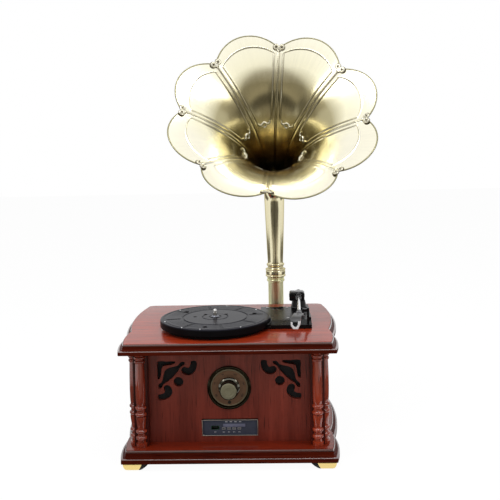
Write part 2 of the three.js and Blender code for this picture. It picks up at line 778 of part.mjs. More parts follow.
// The turntable deck: a raised plate beside the platter on a thin sheet that runs under it
function addDeck() {
  const profile = new THREE.Shape();
  profile.moveTo(deckFront, topSurface);
  profile.lineTo(deckFront, topSurface + deckFrontRise);
  profile.lineTo(deckFront + deckSlope, deckTop);
  profile.lineTo(deckBack, deckTop);
  profile.lineTo(deckBack, topSurface);
  profile.closePath();
  const raised = new THREE.ExtrudeGeometry(profile, { depth: deckRight - deckLeft, bevelEnabled: false });
  raised.rotateX(Math.PI / 2).rotateZ(Math.PI / 2).translate(deckLeft, 0, 0);
  const recess = pillar(platterRadius + deckRecessGap, deckSheetTop, deckTop + overrun, platterX, platterY,
    fineSteps * 2);
  const sheet = pillar(deckDiscRadius, topSurface, deckSheetTop, platterX, platterY, fineSteps);
  const ridge = block(deckRight - ridgeWidth, deckRight, deckFront + deckSlope, deckBack, topSurface,
    deckTop + ridgeRise);
  const [low, high] = [topSurface - overrun, deckTop + overrun];
  const leverHalf = leverThickness / 2 + runGap;
  const slots = [
    pillar(motorShaftRadius + runGap, low, high, motorX, motorY, smallSteps),
    pillar(spindleRadius + fitGap, low, high, platterX, platterY, smallSteps),
    pillar(armBushRadius + fitGap, low, high, armX, armY),
    block(switchX - switchTravel - switchStem, switchX + switchStem, switchY - switchStem / 2 - fitGap,
      switchY + switchStem / 2 + fitGap, low, high),
    block(leverX - leverHalf, leverX + leverHalf, leverY - leverLength - leverKnobRadius * 2,
      leverY + leverTail + leverHeight, low, high),
  ];
  add('deck_plate', cut(join(cut(raised, recess), sheet, ridge), ...slots), 'blackPlastic');
}

function addPlatterDrive() {
  const platter = turnedRing([
    [spindleRadius + fitGap, platterUnder], [drumRadius - drumWall, platterUnder],
    [drumRadius - drumWall, platterUnder - drumHeight], [drumRadius, platterUnder - drumHeight],
    [drumRadius, platterUnder], [platterRadius - platterWall, platterUnder],
    [platterRadius - platterWall, platterSkirt], [platterRadius, platterSkirt],
    [platterRadius, platterTop - platterWall / 2], [platterRadius - platterWall / 2, platterTop],
    [spindleRadius + fitGap, platterTop]], fineSteps);
  platter.translate(platterX, platterY, 0);
  add('platter', platter, 'greyPlastic');
  const tip = platterTop + spindleRise;
  const shoulder = platterUnder - fitGap;
  const spindle = turned([[0, topSurface - bearingDrop], [spindleRadius, topSurface - bearingDrop],
    [spindleRadius, deckSheetTop + fitGap], [bearingRadius, deckSheetTop + fitGap],
    [bearingRadius, deckSheetTop + bearingFlange], [spindleRadius * 2, deckSheetTop + bearingFlange * 2],
    [spindleRadius * 2, shoulder], [spindleRadius, shoulder], [spindleRadius, tip - spindleTaper],
    [spindleRadius / 2, tip], [0, tip]], smallSteps);
  spindle.translate(platterX, platterY, 0);
  add('spindle', spindle, 'steel');
  const motorTop = topSurface - fitGap;
  const shaftTop = deckSheetTop + pulleyRise + pulleyHeight / 2;
  const motor = turned([[0, motorTop - motorHeight], [motorRadius, motorTop - motorHeight],
    [motorRadius, motorTop], [motorShaftRadius, motorTop], [motorShaftRadius, shaftTop],
    [0, shaftTop]], roundSteps);
  motor.translate(motorX, motorY, 0);
  add('motor', motor, 'steel');
  const pulleyBottom = deckSheetTop + pulleyRise - pulleyHeight / 2;
  const bore = motorShaftRadius + fitGap;
  const pulleyTop = pulleyBottom + pulleyHeight;
  const flangeRadius = pulleyRadius + beltThickness + fitGap;
  const pulley = turnedRing([[bore, pulleyBottom], [flangeRadius, pulleyBottom],
    [flangeRadius, pulleyBottom + pulleyFlange], [pulleyRadius, pulleyBottom + pulleyFlange],
    [pulleyRadius, pulleyTop - pulleyFlange], [flangeRadius, pulleyTop - pulleyFlange],
    [flangeRadius, pulleyTop], [bore, pulleyTop]], roundSteps);
  pulley.translate(motorX, motorY, 0);
  add('motor_pulley', pulley, 'blackPlastic');
  addBelt(deckSheetTop + pulleyRise);
}

// The belt runs round the drum under the platter and round the pulley
function beltOutline(offset) {
  const big = drumRadius + fitGap + offset;
  const small = pulleyRadius + fitGap + offset;
  const lean = Math.acos((big - small) / motorDistance);
  const drumBend = new THREE.EllipseCurve(0, 0, big, big, lean, Math.PI * 2 - lean);
  const pulleyBend = new THREE.EllipseCurve(motorDistance, 0, small, small, -lean, lean);
  return [...drumBend.getPoints(fineSteps), ...pulleyBend.getPoints(smallSteps)];
}

function addBelt(middleZ) {
  const turn = THREE.MathUtils.degToRad(motorAngle);
  const outer = beltOutline(beltThickness);
  const inner = beltOutline(0);
  const [low, high] = [middleZ - beltHeight / 2, middleZ + beltHeight / 2];
  const rings = [ringAt(outer, low, 1, 1), ringAt(outer, high, 1, 1), ringAt(inner, high, 1, 1),
    ringAt(inner, low, 1, 1)];
  const belt = throughRings(rings, true).rotateZ(turn).translate(platterX, platterY, 0);
  add('drive_belt', belt, 'rubber');
}

// The deck's front slopes up from a low edge
function deckHeightAt(y) {
  const share = Math.min(Math.max((y - deckFront) / deckSlope, 0), 1);
  return topSurface + deckFrontRise + (deckRise - deckFrontRise) * share;
}

// Fixed parts beside the arm: its base, its rest, the lift lever and the speed switch
function addArmFittings() {
  const base = turnedRing([[yokeShaftRadius + fitGap, topSurface - armBushDrop],
    [armBushRadius, topSurface - armBushDrop], [armBushRadius, deckTop], [armRingRadius, deckTop],
    [armRingRadius, deckTop + armRingHeight], [armRingRadius - armRingHeight / 2, armPostTop],
    [yokeShaftRadius + fitGap, armPostTop]], roundSteps);
  base.translate(armX, armY, 0);
  add('arm_base', base, 'blackPlastic');
  const along = armY - restY;
  const tubeEdge = armX + along * Math.tan(THREE.MathUtils.degToRad(restAngle)) + armTubeRadius;
  const postX = tubeEdge + runGap;
  const seatZ = armAxisZ - armTubeRadius - runGap;
  const [front, rear] = [restY - restDepth / 2, restY + restDepth / 2];
  const outline = new THREE.Shape();
  outline.moveTo(front, deckHeightAt(front) + fitGap);
  outline.lineTo(rear, deckHeightAt(rear) + fitGap);
  outline.lineTo(rear, seatZ + armTubeRadius / 2);
  outline.lineTo(front, seatZ + armTubeRadius / 2);
  outline.closePath();
  const post = new THREE.ExtrudeGeometry(outline, { depth: restThickness, bevelEnabled: false });
  post.rotateX(Math.PI / 2).rotateZ(Math.PI / 2).translate(postX, 0, 0);
  const lip = block(postX - restLip, postX + restThickness, front, rear, seatZ - restHook, seatZ);
  add('arm_rest', join(post, lip), 'blackPlastic');
  const leverZ = deckTop - leverSink;
  const lever = join(block(-leverThickness / 2, leverThickness / 2, -leverLength, leverTail,
    -leverHeight / 2, leverHeight / 2),
  rodAlongX(leverKnobRadius, -leverThickness / 2, leverThickness / 2, -leverLength, 0));
  add('cue_lever', lever, 'chrome').position.set(leverX, leverY, leverZ);
  const knob = join(block(-switchLength / 2, switchLength / 2, -switchWidth / 2, switchWidth / 2,
    deckTop + fitGap, deckTop + switchRise), block(-switchStem / 2, switchStem / 2, -switchStem / 2,
    switchStem / 2, topSurface, deckTop + switchRise / 2));
  add('speed_switch', knob, 'blackPlastic').position.set(switchX, switchY, 0);
}

// The turning parts of the arm, made with the arm pointing along -Y from its pivot
function addTonearm() {
  const arm = new THREE.Group();
  arm.position.set(armX, armY, armAxisZ);
  arm.rotation.z = -THREE.MathUtils.degToRad(armTurn);
  cabinetGroup.add(arm);
  addYoke(arm);
  const tube = join(rodAlongY(armTubeRadius, -armTubeLength, 0, 0, 0, smallSteps),
    rodAlongY(armFerruleRadius, -armTubeLength - armFerruleLength, -armTubeLength, 0, 0, smallSteps),
    rodAlongY(armStubRadius, 0, armStubLength, 0, 0, smallSteps),
    rodAlongX(armHubRadius, -armHubRadius + fitGap, armHubRadius - fitGap, 0, 0),
    rodAlongX(armPinRadius, -armHubRadius - armPinReach, armHubRadius + armPinReach, 0, 0));
  add('tonearm', tube, 'chrome', arm);
  const bore = armStubRadius + fitGap;
  const [near, far] = [weightStart, weightStart + weightLength];
  const middle = (near + far) / 2;
  const weight = turnedRing([[bore, -near], [weightRadius, -near], [weightRadius, -middle + weightGroove],
    [weightRadius - weightGroove, -middle], [weightRadius, -middle - weightGroove],
    [weightRadius, -far], [bore, -far]], roundSteps);
  add('counterweight', facingFront(weight, 0, 0, 0), 'blackPlastic', arm);
  const head = new THREE.Group();
  head.position.y = -armTubeLength - armFerruleLength - fitGap;
  head.rotation.z = -THREE.MathUtils.degToRad(headTurn);
  arm.add(head);
  addHead(head);
}

function addYoke(arm) {
  const bottom = armPostTop + fitGap - armAxisZ;
  const top = topSurface + yokeTopRise - armAxisZ;
  const halfWidth = yokeWidth / 2;
  const outline = new THREE.Shape();
  outline.moveTo(-halfWidth, bottom);
  outline.lineTo(halfWidth, bottom);
  outline.lineTo(halfWidth, top - yokeChamfer);
  outline.lineTo(halfWidth - yokeChamfer, top);
  outline.lineTo(yokeChamfer - halfWidth, top);
  outline.lineTo(-halfWidth, top - yokeChamfer);
  outline.closePath();
  const body = upright(outline, yokeDepth, -yokeDepth / 2);
  const shaft = pillar(yokeShaftRadius, bottom - yokeShaftLength, bottom + yokeFloor / 2);
  const slotHalf = armHubRadius + fitGap;
  const slot = block(-slotHalf, slotHalf, -yokeDepth, yokeDepth, bottom + yokeFloor, top + overrun);
  const pinHole = rodAlongX(armPinRadius + fitGap, -armHubRadius - armPinReach - fitGap,
    armHubRadius + armPinReach + fitGap);
  add('arm_yoke', cut(join(body, shaft), slot, pinHole), 'blackPlastic', arm);
}

function addHead(head) {
  const turn = THREE.MathUtils.degToRad(headTurn);
  const backEdge = -Math.tan(turn) * (headWidth / 2) - fitGap;
  const cartridgeBack = -stylusAlong - cartridgeLength / 3 + cartridgeLength;
  const shellTop = armFerruleRadius / 2;
  const shellBottom = shellTop - headSheet;
  const shell = block(-headWidth / 2, headWidth / 2, -headLength, backEdge, shellBottom, shellTop);
  const cartridge = block(-cartridgeWidth / 2, cartridgeWidth / 2, cartridgeBack - cartridgeLength,
    Math.min(cartridgeBack, backEdge), shellBottom - cartridgeDepth, shellBottom + headSheet / 2);
  const neck = rodAlongY(headNeckRadius, -headLength / 2, -headNeckRadius * Math.tan(turn), 0, 0,
    smallSteps);
  add('headshell', join(shell, cartridge, neck), 'greyPlastic', head);
  const guardTop = shellBottom - cartridgeDepth - fitGap;
  const guardBottom = topSurface + guardBottomRise - armAxisZ;
  const guardBack = -stylusAlong - cartridgeLength / 3 + guardLength;
  const guardFront = -stylusAlong - guardTipLength;
  const outline = new THREE.Shape();
  outline.moveTo(guardBack, guardTop);
  outline.lineTo(guardFront, guardTop);
  outline.lineTo(guardFront, (guardTop + guardBottom) / 2);
  outline.lineTo(-stylusAlong, guardBottom);
  outline.lineTo(guardBack - guardTipLength, guardBottom);
  outline.closePath();
  const guard = new THREE.ExtrudeGeometry(outline, { depth: guardWidth, bevelEnabled: false });
  guard.rotateX(Math.PI / 2).rotateZ(Math.PI / 2).translate(-guardWidth / 2, 0, 0);
  add('stylus_guard', guard, 'whitePlastic', head);
}

// The brass stem behind the cabinet and the bracket that holds it on the back panel
function addStem() {
  const stemTop = collarZ - fitGap;
  const bore = stemRadius - stemWall;
  const foot = stemBottomZ + fitGap;
  const stem = turnedRing([[bore, foot], [stemRadius, foot], [stemRadius, stemRingZ],
    [stemRingRadius, stemRingZ + stemWall], [stemRingRadius, stemTop - stemWall],
    [stemRadius, stemTop], [bore, stemTop]], roundSteps);
  add('horn_stem', stem.translate(hornX, stemY, 0), 'brass');
  const socketBottom = stemBottomZ - bracketFloor;
  const socketTop = socketBottom + bracketSocketHeight;
  const armZ = (socketBottom + socketTop) / 2;
  const socket = pillar(bracketSocketRadius, socketBottom, socketTop, hornX, stemY);
  const arm = rodAlongY(bracketArmRadius, backFaceY + bracketFlangeThickness / 2, stemY, hornX, armZ);
  const flange = rodAlongY(bracketFlangeRadius, backFaceY, backFaceY + bracketFlangeThickness, hornX, armZ);
  const bed = pillar(stemRadius + fitGap, stemBottomZ, socketTop + overrun, hornX, stemY);
  add('stem_bracket', cut(join(socket, arm, flange), bed), 'brass');
}

// The horn's neck: a spigot in the stem, a collar with two rings, a tapered pipe and an elbow
function circleRing(radius, centreY, centreZ, tilt, steps) {
  const ring = [];
  for (let i = 0; i < steps; i += 1) {
    const angle = (Math.PI * 2 * i) / steps;
    const across = Math.sin(angle) * radius;
    ring.push(new THREE.Vector3(Math.cos(angle) * radius, centreY + across * Math.cos(tilt),
      centreZ + across * Math.sin(tilt)));
  }
  return ring;
}

function neckStations() {
  const collarTop = collarZ + collarHeight;
  const ringTop = collarTop + neckRingHeight;
  const bore = neckFootRadius - neckWall;
  const spigotRadius = stemRadius - stemWall - fitGap;
  const stations = [
    [collarZ - spigotLength, 0, spigotRadius, spigotRadius - neckWall],
    [collarZ, 0, spigotRadius, spigotRadius - neckWall],
    [collarZ, 0, collarRadius, spigotRadius - neckWall],
    [collarTop, 0, collarRadius, bore],
    [collarTop, 0, neckRingRadius, bore],
    [ringTop, 0, neckRingRadius, bore],
    [ringTop + neckWall, 0, neckFootRadius, bore],
    [neckStraightTopZ, 0, neckTopRadius, neckTopRadius - neckWall],
  ].map(([z, y, outer, inner]) => ({ y, z, tilt: 0, outer, inner }));
  const sweep = THREE.MathUtils.degToRad(90 - hornElevation);
  for (let i = 1; i <= halfSteps; i += 1) {
    const turn = (sweep * i) / halfSteps;
    const outer = neckTopRadius + ((neckThroatRadius - neckTopRadius) * i) / halfSteps;
    const y = -elbowRadius * (1 - Math.cos(turn));
    const z = neckStraightTopZ + elbowRadius * Math.sin(turn);
    stations.push({ y, z, tilt: turn, outer, inner: outer - neckWall });
  }
  return stations;
}

function addNeck() {
  const stations = neckStations();
  const outside = stations.map((s) => circleRing(s.outer, s.y, s.z, s.tilt, roundSteps));
  const inside = stations.map((s) => circleRing(s.inner, s.y, s.z, s.tilt, roundSteps));
  const neck = throughRings([...outside, ...inside.reverse()], true);
  add('horn_neck', neck, 'brass', hornGroup);
  return stations[stations.length - 1];
}

// The bell: eight petals that grow out of a round throat. Depth runs back from the clip ring.
function petalRadius(away) {
  const halfPetal = Math.PI / petalCount;
  const halfChord = clipRingRadius * Math.sin(halfPetal);
  const lobe = (halfChord * halfChord + petalSagitta * petalSagitta) / (petalSagitta * 2);
  const centre = clipRingRadius * Math.cos(halfPetal) + petalSagitta - lobe;
  const side = centre * Math.sin(away);
  return centre * Math.cos(away) + Math.sqrt(lobe * lobe - side * side);
}

function bellPoint(reach, away) {
  const round = throatRadius * (clipRingRadius / throatRadius) ** (reach ** bellFlare);
  const petal = reach ** petalFade;
  const swell = 1 + (petalRadius(away) / clipRingRadius - 1) * petal;
  const crown = Math.cos((away / (Math.PI / petalCount)) * (Math.PI / 2));
  return { radius: round * swell, depth: bellLength * (1 - reach) - petalForward * crown * petal };
}

function bellRing(reach, wall) {
  const ring = [];
  const nudge = 1 / (bellRings * bellRings);
  for (let i = 0; i < petalCount * petalSteps; i += 1) {
    const along = i / petalSteps;
    const away = (along - Math.floor(along) - 1 / 2) * ((Math.PI * 2) / petalCount);
    const angle = (along * Math.PI * 2) / petalCount + THREE.MathUtils.degToRad(petalTurn);
    const here = bellPoint(reach, away);
    const back = bellPoint(Math.max(reach - nudge, 0), away);
    const ahead = bellPoint(reach + nudge, away);
    const [rise, run] = [ahead.radius - back.radius, back.depth - ahead.depth];
    const slant = Math.hypot(rise, run);
    const radius = here.radius + (wall * run) / slant;
    ring.push(new THREE.Vector3(Math.cos(angle) * radius, Math.sin(angle) * radius,
      -here.depth - (wall * rise) / slant));
  }
  return ring;
}

function addBell(throat) {
  const bell = new THREE.Group();
  const tilt = THREE.MathUtils.degToRad(90 - hornElevation);
  const length = bellLength + fitGap;
  bell.position.set(0, throat.y - length * Math.sin(tilt), throat.z + length * Math.cos(tilt));
  bell.rotation.x = tilt;
  hornGroup.add(bell);
  const reaches = Array.from({ length: bellRings + 1 }, (_, i) => i / bellRings);
  const inside = reaches.map((reach) => bellRing(reach, 0));
  const outside = reaches.map((reach) => bellRing(reach, bellWall));
  add('horn_bell', throughRings([...inside, ...outside.reverse()], true), 'brass', bell);
  addClips(bell);
}

// One clip bridges each notch between two petals
function addClips(bell) {
  const outline = new THREE.Shape(roundedOutline(clipWidth / 2, clipLength / 2, clipCorner, halfSteps / 2));
  const notch = Math.PI / petalCount;
  const [edge, inner] = [bellPoint(1, notch), bellPoint(1 - 1 / bellRings, notch)];
  const lean = Math.atan2(inner.depth - edge.depth, edge.radius - inner.radius);
  for (let i = 0; i < petalCount; i += 1) {
    const clip = new THREE.ExtrudeGeometry(outline, { depth: clipThickness, bevelEnabled: false });
    clip.translate(0, 0, fitGap);
    clip.rotateX(lean).translate(0, edge.radius, -edge.depth);
    clip.rotateZ((i / petalCount) * Math.PI * 2 - Math.PI / 2 + THREE.MathUtils.degToRad(petalTurn));
    add(`rim_clip_${i + 1}`, clip, 'steel', bell);
  }
}

// Sound and power connections on the back
function addJacks() {
  const front = backFaceY + jackSheet;
  const plate = block(jackX - jackWidth / 2, jackX + jackWidth / 2, backFaceY, front,
    jackZ - jackHeight / 2, jackZ + jackHeight / 2);
  const body = block(jackX - jackWidth / 2 + jackBodyMargin, jackX + jackWidth / 2 - jackBodyMargin,
    backFaceY - jackBody, backFaceY + jackSheet / 2, jackZ - jackHeight / 2 + jackBodyMargin,
    jackZ + jackHeight / 2 - jackBodyMargin);
  const [leftX, middleX, rightX] = [jackX - jackPitch, jackX, jackX + jackPitch];
  const barrels = [rodAlongY(phonoRadius, backFaceY, front + phonoLength, leftX, jackZ, smallSteps),
    rodAlongY(phonoRadius, backFaceY, front + phonoLength, middleX, jackZ, smallSteps),
    rodAlongY(inletRadius, backFaceY, front + inletLength, rightX, jackZ, roundSteps)];
  const bores = [rodAlongY(phonoHoleRadius, front, front + phonoLength + overrun, leftX, jackZ, smallSteps),
    rodAlongY(phonoHoleRadius, front, front + phonoLength + overrun, middleX, jackZ, smallSteps),
    cut(rodAlongY(inletBore, front + inletLength - inletDepth, front + inletLength + overrun, rightX,
      jackZ, smallSteps), rodAlongY(inletPin, front + inletLength - inletDepth - overrun,
      front + inletLength - overrun, rightX, jackZ, smallSteps))];
  add('jack_plate', cut(join(plate, body, ...barrels), ...bores), 'blackPlastic');
}

addBoards();
addFeet();
addPostsAndColumns();
addFrontPanel();
addSideAndBackPanels();
addGrilleAndSpeakers();
addDial();
addControlPanel();
addButtons();
addMainBoard();
addDeck();
addPlatterDrive();
addArmFittings();
addTonearm();
addStem();
hornGroup.position.set(hornX, stemY, 0);
cabinetGroup.add(hornGroup);
addBell(addNeck());
addJacks();

// The origin is on the ground, under the middle of the whole object's box
const recordPlayer = new THREE.Group();
recordPlayer.add(cabinetGroup);
const bounds = new THREE.Box3().setFromObject(recordPlayer, true);
const middle = bounds.getCenter(new THREE.Vector3());
cabinetGroup.position.set(-middle.x, -middle.y, -bounds.min.z);

export default recordPlayer;
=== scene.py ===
"""Looks of the retro record player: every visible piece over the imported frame, in metres."""

import math

import bmesh
import bpy
from mathutils import Matrix, Vector


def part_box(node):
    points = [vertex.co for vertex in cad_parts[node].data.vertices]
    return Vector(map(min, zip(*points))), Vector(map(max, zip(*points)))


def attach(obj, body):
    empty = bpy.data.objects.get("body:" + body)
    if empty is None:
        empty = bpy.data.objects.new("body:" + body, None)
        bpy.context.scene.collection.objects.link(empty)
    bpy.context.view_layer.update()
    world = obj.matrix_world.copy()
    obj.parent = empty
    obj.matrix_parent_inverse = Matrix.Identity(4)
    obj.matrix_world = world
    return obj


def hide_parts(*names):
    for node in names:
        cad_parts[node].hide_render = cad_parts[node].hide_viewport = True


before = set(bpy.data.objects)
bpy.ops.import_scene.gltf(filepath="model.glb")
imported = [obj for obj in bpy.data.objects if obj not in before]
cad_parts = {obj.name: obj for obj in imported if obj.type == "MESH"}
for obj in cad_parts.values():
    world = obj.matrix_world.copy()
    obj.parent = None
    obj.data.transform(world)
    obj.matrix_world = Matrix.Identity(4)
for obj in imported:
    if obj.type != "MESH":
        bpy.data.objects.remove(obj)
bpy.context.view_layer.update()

# The model is worked out in millimetres, in the cabinet's own frame: x from the cabinet's middle
# line, y from the middle of its top, z from the ground.
MM = 0.001
PLATTER_X, PLATTER_Y = -27.5, -39.0


def corners(name):
    """Lowest and highest corner of a CAD node at rest."""
    return [Vector(corner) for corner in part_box(name)]


SHIFT = sum(corners("platter"), Vector()) / 2 - Vector((PLATTER_X, PLATTER_Y, 0)) * MM
SHIFT.z = 0


def at(x, y, z):
    return Vector((x, y, z)) * MM + SHIFT


# Cabinet
TOP_WIDTH, TOP_DEPTH, TOP_BOARD, BASE_BOARD, LIP = 348.0, 304.0, 18.0, 21.0, 9.0
EAR, EAR_BULGE, CUSP, BOW, REAR, REAR_CORNER = 94.0, 5.0, 3.0, 10.8, 6.0, 14.0
FOOT_HEIGHT, BODY_HEIGHT = 12.0, 165.0
BODY_BOTTOM = FOOT_HEIGHT + BASE_BOARD
BODY_TOP = BODY_BOTTOM + BODY_HEIGHT
TOP = BODY_TOP + TOP_BOARD
POST = 24.0
POST_X = TOP_WIDTH / 2 - 10.5
POST_Y = TOP_DEPTH / 2 - 18.5
BACK_Y = POST_Y - 3.5
PANEL_Y = -POST_Y + 17.5

# Grille cloth, dial and controls
CLOTH_NOTCH, CLOTH_NOTCH_TOP = 37.0, 151.0
DIAL_Z, BEZEL, BEZEL_WIDTH = 128.3, 38.2, 5.6
FACE_THICK, SKIRT, SKIRT_DEPTH, KNOB, KNOB_REACH = 2.0, 18.7, 3.0, 15.2, 22.0
CONTROL_WIDTH, CONTROL_HEIGHT, CONTROL_Z = 97.8, 28.5, 57.1

# Deck and arm
PLATTER_TOP, PLATTER_SKIRT = TOP + 19.5, TOP + 6.5
DECK_TOP = TOP + 12.0
ARM_X, ARM_Y, ARM_Z, ARM_TURN = 129.0, 51.0, TOP + 38.0, 2.0
HEAD_REACH, HEAD_TURN = 160.3, 11.0

# Horn
HORN_X, STEM_Y = 86.0, 179.0
COLLAR_Z, NECK_TOP_Z, ELBOW, ELEVATION = 270.5, 430.2, 62.2, 36.5
THROAT, CLIP_RING, BELL, SAGITTA, FORWARD = 22.0, 169.0, 205.0, 42.0, 13.0
PETALS, PETAL_TURN, FLARE, FADE = 8, math.radians(-4.73), 1.13, 6.4
SHEET, RIM_BEAD, THROAT_GAP = 1.2, 1.35, 0.3

FRONTWARD, BACKWARD = (0, -1, 0), (0, 1, 0)


# Materials
class Tree:
    """A node tree in the making. A node's values are its own settings, or else go to its sockets."""

    def __init__(self, owner, clear=True):
        owner.use_nodes = True
        self.tree = owner.node_tree
        if clear:
            self.tree.nodes.clear()

    def feed(self, socket, value):
        """Links an output to a socket, or sets a constant on it."""
        if isinstance(value, bpy.types.NodeSocket):
            self.tree.links.new(value, socket)
        elif socket.type == "RGBA":
            socket.default_value = (*value, 1)
        else:
            socket.default_value = value

    def node(self, kind, **values):
        made = self.tree.nodes.new("ShaderNode" + kind)
        for key, value in values.items():
            if hasattr(made, key):
                setattr(made, key, value)
            else:
                self.feed(made.inputs[key.replace("_", " ")], value)
        return made

    def numbered(self, kind, *values, **settings):
        """First output of a node whose sockets are fed in their order."""
        made = self.node(kind, **settings)
        for socket, value in zip(made.inputs, values):
            self.feed(socket, value)
        return made.outputs[0]


class Finish(Tree):
    """A material over the Principled shader, whose plain values are set on its sockets."""

    def __init__(self, name, base, rough=0.5, metal=0.0, **extra):
        self.material = bpy.data.materials.new(name)
        super().__init__(self.material, clear=False)
        self.material.diffuse_color = (*base, 1)
        self.done(Base_Color=base, Roughness=rough, Metallic=metal, **extra)

    def done(self, **values):
        """Sets or links the shader's sockets, and gives the material."""
        sockets = self.tree.nodes["Principled BSDF"].inputs
        for key, value in values.items():
            self.feed(sockets[key.replace("_", " ")], value)
        return self.material

    def attribute(self, name, output="Fac"):
        return self.node("Attribute", attribute_name=name).outputs[output]

    def place(self, stretch=1.0):
        """The object's own coordinates, stretched by one number or by three."""
        if not hasattr(stretch, "__len__"):
            stretch = (stretch, stretch, stretch)
        own = self.node("TexCoord").outputs["Object"]
        return self.node("Mapping", Vector=own, Scale=stretch).outputs["Vector"]

    def noise(self, spread, scale=1.0, detail=3.0, rough=0.5, distortion=0.0):
        """Noise over an output, or over the object's own coordinates with a stretch."""
        if not isinstance(spread, bpy.types.NodeSocket):
            spread = self.place(spread)
        made = self.node("TexNoise", Vector=spread, Scale=scale, Detail=detail, Roughness=rough,
                         Distortion=distortion)
        return made.outputs["Fac"]

    def ramp(self, factor, *stops):
        made = self.node("ValToRGB", Fac=factor)
        band = made.color_ramp
        while len(band.elements) < len(stops):
            band.elements.new(0.5)
        for element, (place, tone) in zip(band.elements, stops):
            element.position = place
            element.color = (*tone, 1) if hasattr(tone, "__len__") else (tone, tone, tone, 1)
        return made.outputs["Color"]

    def mix(self, factor, first, second, blend="MIX"):
        made = self.node("Mix", data_type="RGBA", blend_type=blend)
        for place, value in ((0, factor), (6, first), (7, second)):
            self.feed(made.inputs[place], value)
        return made.outputs[2]

    def shade(self, share, colour, factor, *stops):
        """Multiplies a colour by a ramp."""
        return self.mix(share, colour, self.ramp(factor, *stops), "MULTIPLY")

    def scaled(self, value, low, high):
        return self.node("MapRange", Value=value, To_Min=low, To_Max=high).outputs["Result"]

    def bump(self, height, strength, distance):
        made = self.node("Bump", Height=height, Strength=strength, Distance=distance)
        return made.outputs["Normal"]


def lacquered_wood(name, dark, light, grain, coat=0.35, gloss=0.12, figure=22.0, contrast=0.6, rim=None,
                   shine=1.5):
    """Straight-grained wood under gloss lacquer; grain is the axis that the fibres follow.

    With a rim, the mesh's "edge" paints shade into the wood, darkening it towards the rim factor where "edge" is
    1, and "polish" sets the lacquer's gloss.
    """
    f = Finish(name, light, 0.34, Coat_Weight=coat, Coat_Roughness=gloss, Coat_IOR=shine,
               Specular_IOR_Level=0.1)
    fibres = f.place([1.1 if axis == grain else figure for axis in "xyz"])
    wide = f.noise(fibres, 1.6, 3.0, 0.5, 0.5)
    fine = f.noise(fibres, 9.0, 6.0, 0.7)
    pore = f.noise([22.0 if axis == grain else 700.0 for axis in "xyz"], detail=2.0)
    banded = f.ramp(wide, (0.34, dark), (0.5, light), (0.68, [c * 1.3 for c in light]))
    grained = f.mix(1 - contrast, banded, f.ramp(fine, (0.36, dark), (0.62, light)))
    pored = f.mix(f.ramp(pore, (0.3, 1.0), (0.4, 0.0)), grained, [c * 0.45 for c in dark])
    shaded = f.shade(0.5, pored, f.noise(5.0), (0.3, 0.72), (0.7, 1.15))
    if rim:
        # painted shade: "edge" darkens the wood, down to the rim factor
        shaded = f.shade(1.0, shaded, f.attribute("edge"), (0.0, 1.0), (1.0, rim))
        polish = f.attribute("polish")
        f.done(Coat_Weight=f.ramp(polish, (0.0, 0.0), (0.3, coat), (1.0, 1.0)),
               Specular_IOR_Level=f.ramp(polish, (0.0, 0.03), (0.3, 0.1), (1.0, 0.5)))
    return f.done(Base_Color=shaded, Roughness=f.scaled(fine, 0.28, 0.42), Normal=f.bump(pore, 0.05, 0.0002))


def horn_brass(name):
    """Brushed antique brass. The mesh's "reach" paints shade into it, darker towards the throat, and "line" paints
    shade and highlight on its pressed lines, from a painted dark foot at 0 to a painted bright crest at 1."""
    f = Finish(name, (0.88, 0.82, 0.62), 0.3, 1.0)
    reach, line = f.attribute("reach"), f.attribute("line")
    brushing = f.noise(f.attribute("brush", "Vector"), rough=0.6)
    # painted shade: the tone darkens towards the throat, at reach 0
    tone = f.ramp(reach, (0.0, (0.4, 0.33, 0.24)), (0.3, (0.27, 0.2, 0.1)), (0.4, (0.3, 0.225, 0.1)),
                  (0.5, (0.37, 0.305, 0.15)), (0.62, (0.41, 0.36, 0.2)), (0.8, (0.46, 0.41, 0.24)),
                  (0.88, (0.97, 0.92, 0.68)), (1.0, (0.98, 0.94, 0.77)))
    # painted highlight on the crests of the pressed lines, brighter towards the rim
    painted_crest_highlight = f.ramp(reach, (0.3, (0.2, 0.15, 0.07)), (0.6, (0.7, 0.64, 0.44)), (0.8, (0.97, 0.96, 0.9)))
    streaked = f.shade(0.1, tone, brushing, (0.32, 0.6), (0.68, 1.25))
    clouded = f.shade(0.2, streaked, f.noise(9.0), (0.3, 0.8), (0.7, 1.1))
    # painted shade at the foot of the pressed lines
    lined = f.shade(1.0, clouded, line, (0.0, 0.3), (0.5, 1.0))
    return f.done(Base_Color=f.mix(f.ramp(line, (0.55, 0.0), (1.0, 0.65)), lined, painted_crest_highlight),
                  Roughness=f.scaled(brushing, 0.15, 0.24), Normal=f.bump(brushing, 0.04, 0.0003))


def brushed_metal(name, base, rough, stretch, contrast=0.3, tint=(1, 1, 1), spread=0.0):
    """Fine parallel brush lines: the stretch is large across the lines and small along them.
    A spread smears the reflections round the object's upright axis."""
    f = Finish(name, base, rough, 1.0, Specular_Tint=tint)
    if spread:
        round_z = f.node("Tangent", direction_type="RADIAL", axis="Z").outputs["Tangent"]
        f.done(Tangent=round_z, Anisotropic=spread, Anisotropic_Rotation=0.25)
    lines = f.noise(stretch, rough=0.6)
    streaked = f.shade(contrast, base, lines, (0.3, 0.62), (0.7, 1.2))
    return f.done(Base_Color=f.shade(0.3, streaked, f.noise(14.0), (0.3, 0.8), (0.7, 1.1)),
                  Roughness=f.scaled(lines, rough * 0.75, rough * 1.3), Normal=f.bump(lines, 0.08, 0.0002))


